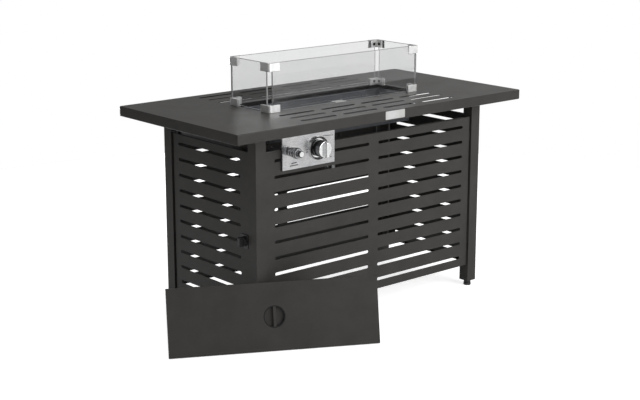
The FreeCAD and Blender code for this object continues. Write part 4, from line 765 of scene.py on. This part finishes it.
glassPane = {"arris": 1.0, "broad": 0.99}
for side in ("front", "rear", "left", "right"):
    piece = newPiece("glass_" + side + "_pane", boxMesh(*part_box("glass_" + side)), finishes["glass"])
    piece.data.materials.append(glassEdge)
    arris = piece.modifiers.new("arris", "BEVEL")
    arris.width = glassPane["arris"] * mm
    arris.segments = 1
    bake(piece)
    thinAxis = 1 if side in ("front", "rear") else 0
    for face in piece.data.polygons:
        broad = abs(face.normal[thinAxis]) > glassPane["broad"]
        face.material_index = 0 if broad else 1
    settle(piece, "glass_" + side)
print("glass panes")

# Knob, bezel and igniter, turned round their axes

controls = {
    "face": -216.8, "knobX": -218, "knobZ": 532.5, "igniterX": -327, "igniterZ": 538.5,
    "disc": ((22.9, 4), (23.5, 4.6), (23.5, 16), (22.7, 18), (22.7, 29.2), (22.2, 29.6), (22.2, 30.8),
             (22.7, 31.2), (22.7, 33.2), (21.7, 34)),
    "waist": (17.5, 29.3), "gripHalfX": 5, "gripHalfZ": 21.5, "gripBack": 31, "gripFront": 44.5,
    "gripRound": 3.2,
    "bezel": ((7.7, 0), (33, 0), (33, 6.9), (32.4, 7.5), (30.6, 7.5), (30.2, 7.2), (27.2, 0.9), (7.7, 0.7)),
    "bezelLip": 30.3, "lipTilt": -0.4, "capTilt": -0.9,
    "body": ((12.5, 0), (12.5, 3), (11.1, 4), (11.1, 12.25), (12.5, 13.65), (12.5, 16.975), (11.1, 18.375),
             (12.6, 24.5), (14, 25.9), (14, 29.225), (12.6, 30.625), (14.1, 36.75), (15.5, 38.15),
             (15.5, 41.475), (14.1, 42.875), (14.1, 47.5), (12.5, 49), (6.05, 49), (6.05, 0)),
    "bands": ((11.7, 15.3), (13.2, 27.6), (14.7, 39.8)), "rib": (1.0, 3.3, 0.7), "ribs": 40,
    "cap": ((6, 29), (6, 53.5), (9, 53.5), (9.5, 54.2), (9.5, 60), (8.9, 61.3), (7.5, 62)),
    "capOutline": 60.1,
}


# Turns a profile of (radius, depth in front of the plate) round an axis at x and z.
def turnedPiece(name, profile, x, z, finish, closed=False, count=96):
    levels = [(circleRing(radius, count), depth) for radius, depth in profile]
    mesh = loft(levels, lambda a, b, depth: at(x + a, controls["face"] - depth, z + b), closed, not closed)
    return newPiece(name, mesh, finish)


def paint(piece, finish, chosen):
    piece.data.materials.append(finish)
    for face in piece.data.polygons:
        if chosen(face):
            face.material_index = len(piece.data.materials) - 1
    return piece


def depthOf(face):
    return (middle.y - face.center.y) / mm + controls["face"]


def distanceFrom(face, x, z):
    return math.hypot((face.center.x - middle.x) / mm - x, face.center.z / mm - z)


knobX, knobZ = controls["knobX"], controls["knobZ"]
disc = turnedPiece("knob_disc", controls["disc"], knobX, knobZ, finishes["knob_plastic"])
paint(disc, darkChrome, lambda face: controls["waist"][0] < depthOf(face) < controls["waist"][1])
paint(disc, finishes["chrome"], lambda face: depthOf(face) > controls["gripBack"])
settle(soften(disc, 0.25, angle=30), "control_knob")
bend = quarterBend(controls["gripRound"], 6)
levels = [(rectangleRing(controls["gripHalfX"], controls["gripHalfZ"], controls["gripRound"]),
           controls["gripBack"])]
levels += [(rectangleRing(controls["gripHalfX"] - inset, controls["gripHalfZ"] - inset,
                          max(controls["gripRound"] - inset, 0.2)), controls["gripFront"] - rise)
           for inset, rise in reversed(bend)]
mesh = loft(levels, lambda x, y, depth: at(knobX + x, controls["face"] - depth, knobZ + y), closed=False,
            caps=True)
grip = newPiece("knob_grip", mesh, finishes["chrome"])
settle(soften(grip, 0.15), "control_knob")
bezel = turnedPiece("knob_bezel_ring", controls["bezel"], knobX, knobZ, finishes["chrome"], closed=True)
soften(bezel, 0.2, angle=30)
paint(bezel, ink, lambda face: distanceFrom(face, knobX, knobZ) > controls["bezelLip"]
      and face.normal.y < controls["lipTilt"])
settle(bezel, "knob_bezel")

igniterX, igniterZ = controls["igniterX"], controls["igniterZ"]
shell = turnedPiece("igniter_shell", controls["body"], igniterX, igniterZ, darkChrome, closed=True, count=64)
settle(soften(shell, 0.2, angle=30), "igniter_body")
for radius, depth in controls["bands"]:
    mesh = bpy.data.meshes.new("igniter_ribs")
    mesh.from_pydata([at(igniterX, controls["face"] - depth, igniterZ)], [], [])
    ribs = newPiece(f"igniter_ribs_{depth:.0f}", mesh, darkChrome)
    grow(ribs, knurl, Count=controls["ribs"], Radius=radius * mm, Rib=Vector(controls["rib"]) * mm,
         Middle=at(igniterX, controls["face"] - depth, igniterZ), Finish=darkChrome)
    settle(soften(ribs, 0, angle=30), "igniter_body")
cap = turnedPiece("igniter_cap", controls["cap"], igniterX, igniterZ, finishes["chrome"], count=64)
paint(cap, ink, lambda face: depthOf(face) > controls["capOutline"] and face.normal.y > controls["capTilt"])
settle(soften(cap, 0.15, angle=30), "igniter_button")
print("knob, bezel and igniter")

# Plain marks printed on the control plate, each from x, z to x, z with its width

inkHeight = 0.03
marks = {
    "dash_high": (-259.2, 532.0, -253.0, 532.1, 1.8), "dash_low": (-260.6, 524.6, -253.0, 525.4, 1.8),
    "line_slanting": (-197.9, 563.7, -161.9, 561.5, 1.6), "dot": (-170.2, 500.5, -169.6, 500.5, 4.2),
    "bar_short": (-312.7, 500.8, -295.1, 501.7, 2.6), "bar_long": (-318.0, 494.2, -290.2, 494.9, 2.6),
}
for name, (startX, startZ, endX, endZ, width) in marks.items():
    mesh = bmesh.new()
    along = Vector((endX - startX, 0, endZ - startZ)).normalized() * width / 2
    across = Vector((-along.z, 0, along.x))
    corners = []
    for x, z, turn in ((startX, startZ, -1), (endX, endZ, 1)):
        for angle in [math.radians(degrees) for degrees in (-90, -45, 0, 45, 90)]:
            point = Vector((x, 0, z)) + turn * (along * math.cos(angle) + across * math.sin(angle))
            corners.append(mesh.verts.new(at(point.x, controls["face"] - inkHeight, point.z)))
    face = mesh.faces.new(corners)
    bmesh.ops.recalc_face_normals(mesh, faces=[face])
    if face.normal.y > 0:
        face.normal_flip()
    settle(newPiece("mark_" + name, mesh, ink), body=bodyOf["control_plate"])
print("marks:", len(marks))

# Screws and nuts


# Heads sit at the end of each box that faces the given centre.
def setFasteners(node, name, centre, **sizes):
    points, facings = [], []
    for low, high in islandBoxes(node):
        spans = high - low
        square = min(range(3), key=lambda n: abs(spans[(n + 1) % 3] - spans[(n + 2) % 3]))
        facing = Vector((0, 0, 0))
        facing[square] = 1 if centre[square] > (low[square] + high[square]) / 2 else -1
        point = (low + high) / 2
        point[square] += facing[square] * (spans[square] / 2 - sizes["Head_Height"])
        points.append(point)
        facings.append(facing)
    mesh = bpy.data.meshes.new(name)
    mesh.from_pydata(points, [], [])
    mesh.attributes.new("facing", "FLOAT_VECTOR", "POINT").data.foreach_set(
        "vector", [value for facing in facings for value in facing])
    piece = bpy.data.objects.new(name, mesh)
    bpy.context.scene.collection.objects.link(piece)
    grow(piece, fastener, Finish=finishes[finishOf[node]], **sizes)
    settle(soften(piece, 0.15, segments=1, angle=50), node)
    return len(points)


guardLow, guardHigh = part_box("guard_brackets_low")
guardCentre = (guardLow + guardHigh) / 2
counts = [
    setFasteners("guard_screws", "guard_button_screws", guardCentre, Head_Radius=4.5 * mm, Head_Height=2 * mm,
                 Crown=0.72, Socket_Radius=1.5 * mm, Socket_Depth=1.2 * mm, Shank_Radius=1.5 * mm,
                 Shank_Length=0.2 * mm, Washer_Radius=4.4 * mm, Washer_Height=0.1 * mm),
    setFasteners("panel_screws", "panel_pan_screws", at(0, 0, 300), Head_Radius=4 * mm, Head_Height=2 * mm,
                 Crown=0.8, Socket_Radius=1.4 * mm, Socket_Depth=1.2 * mm, Shank_Radius=2 * mm,
                 Shank_Length=12 * mm, Washer_Radius=3.9 * mm, Washer_Height=0.1 * mm),
    setFasteners("top_nuts", "top_hex_nuts", at(0, 0, -9000), Sides=6, Head_Radius=5.77 * mm,
                 Head_Height=5 * mm, Crown=0.92, Socket_Sides=24, Socket_Radius=3.1 * mm,
                 Socket_Depth=4.9 * mm, Shank_Radius=3.05 * mm, Shank_Length=0.01 * mm,
                 Washer_Radius=6 * mm, Washer_Height=1 * mm),
]
print("fasteners:", counts)

# Camera, floor and light

view = {"x": -2698.7, "y": -3124.9, "z": 1342.0, "turn": 40.558, "drop": 14.092, "lens": 78.96}
camera = bpy.data.objects.new("view", bpy.data.cameras.new("view"))
camera.location = at(view["x"], view["y"], view["z"])
camera.rotation_euler = (math.radians(90 - view["drop"]), 0, -math.radians(view["turn"]))
camera.data.lens = view["lens"]
camera.data.sensor_width = 36
camera.data.clip_end = 50
bpy.context.scene.collection.objects.link(camera)
bpy.context.scene.camera = camera

studio = {
    "floorRadius": 2300, "floorGlow": 0.72, "sky": 0.26, "darkWall": 0.04,
    "brightSide": (0.6, -0.8, 0.0), "darkFrom": -0.3, "brightFrom": 0.6, "floorGloss": 0.3,
    "aim": (0, 0, 400),
}


def paleFloor():
    # matt white studio floor: the shadow stays in its diffuse part, and the glow takes it to white
    finish = bpy.data.materials.new("studio_floor")
    finish.use_nodes = True
    tree = finish.node_tree
    tree.nodes.clear()
    matt = addNode(tree, "ShaderNodeBsdfDiffuse", Color=toLinear("#e6e6e6"))
    rays = addNode(tree, "ShaderNodeLightPath").outputs
    seen = addNode(tree, "ShaderNodeMath", {"operation": "MAXIMUM"}, input0=rays["Is Camera Ray"],
                   input1=rays["Is Transmission Ray"])
    glossy = addNode(tree, "ShaderNodeMath", {"operation": "MULTIPLY"}, input0=rays["Is Glossy Ray"],
                     input1=studio["floorGloss"])
    share = addNode(tree, "ShaderNodeMath", {"operation": "MAXIMUM"}, input0=seen, input1=glossy)
    strength = addNode(tree, "ShaderNodeMath", {"operation": "MULTIPLY"}, input0=share,
                       input1=studio["floorGlow"])
    glow = addNode(tree, "ShaderNodeEmission", Color=toLinear("#ffffff"), Strength=strength)
    both = addNode(tree, "ShaderNodeAddShader", input0=matt, input1=glow)
    addNode(tree, "ShaderNodeOutputMaterial", Surface=both)
    return finish


mesh = bmesh.new()
bmesh.ops.create_circle(mesh, cap_ends=True, segments=96, radius=studio["floorRadius"] * mm)
floor = newPiece("studio_floor", mesh, paleFloor())
floor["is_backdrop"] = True

world = bpy.data.worlds.new("studio")
bpy.context.scene.world = world
world.use_nodes = True
tree = world.node_tree
tree.nodes.clear()
rays = addNode(tree, "ShaderNodeLightPath").outputs
seen = addNode(tree, "ShaderNodeMath", {"operation": "MAXIMUM"}, input0=rays["Is Camera Ray"],
               input1=rays["Is Transmission Ray"])
# in reflections the white studio fades to a dark wall at the rear left
outwards = addNode(tree, "ShaderNodeTexCoord").outputs["Generated"]
ahead = addNode(tree, "ShaderNodeVectorMath", {"operation": "DOT_PRODUCT"}, input0=outwards,
                input1=studio["brightSide"]).outputs["Value"]
walls = addNode(tree, "ShaderNodeMapRange", Value=ahead, From_Min=studio["darkFrom"],
                From_Max=studio["brightFrom"], To_Min=studio["darkWall"], To_Max=1.0)
glossy = addNode(tree, "ShaderNodeMath", {"operation": "MULTIPLY"}, input0=rays["Is Glossy Ray"],
                 input1=walls)
shown = addNode(tree, "ShaderNodeMath", {"operation": "MAXIMUM"}, input0=seen, input1=glossy)
strength = addNode(tree, "ShaderNodeMix", Factor=shown, input2=studio["sky"], input3=1.0)
sky = addNode(tree, "ShaderNodeBackground", Color=toLinear("#ffffff"), Strength=strength)
addNode(tree, "ShaderNodeOutputWorld", Surface=sky)

lamps = {
    "key": {"from": (700, -3000, 1500), "power": 86, "size": 2600},
    "fill": {"from": (-2600, -1500, 1900), "power": 8, "size": 2200},
    "back": {"from": (300, 2900, 420), "power": 34, "size": 700},
    "above": {"from": (0, 200, 3600), "power": 45, "size": 2400},
}
for name, lamp in lamps.items():
    data = bpy.data.lights.new(name, "AREA")
    data.shape = "DISK"
    data.size = lamp["size"] * mm
    data.energy = lamp["power"]
    light = bpy.data.objects.new(name, data)
    light.location = at(*lamp["from"])
    light.visible_transmission = False  # no lamp's disc shows in the panes
    light.rotation_euler = (at(*studio["aim"]) - light.location).to_track_quat("-Z", "Y").to_euler()
    bpy.context.scene.collection.objects.link(light)

bpy.context.scene.view_settings.view_transform = "Standard"
low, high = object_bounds()
print("size:", [round(b - a, 4) for a, b in zip(low, high)])
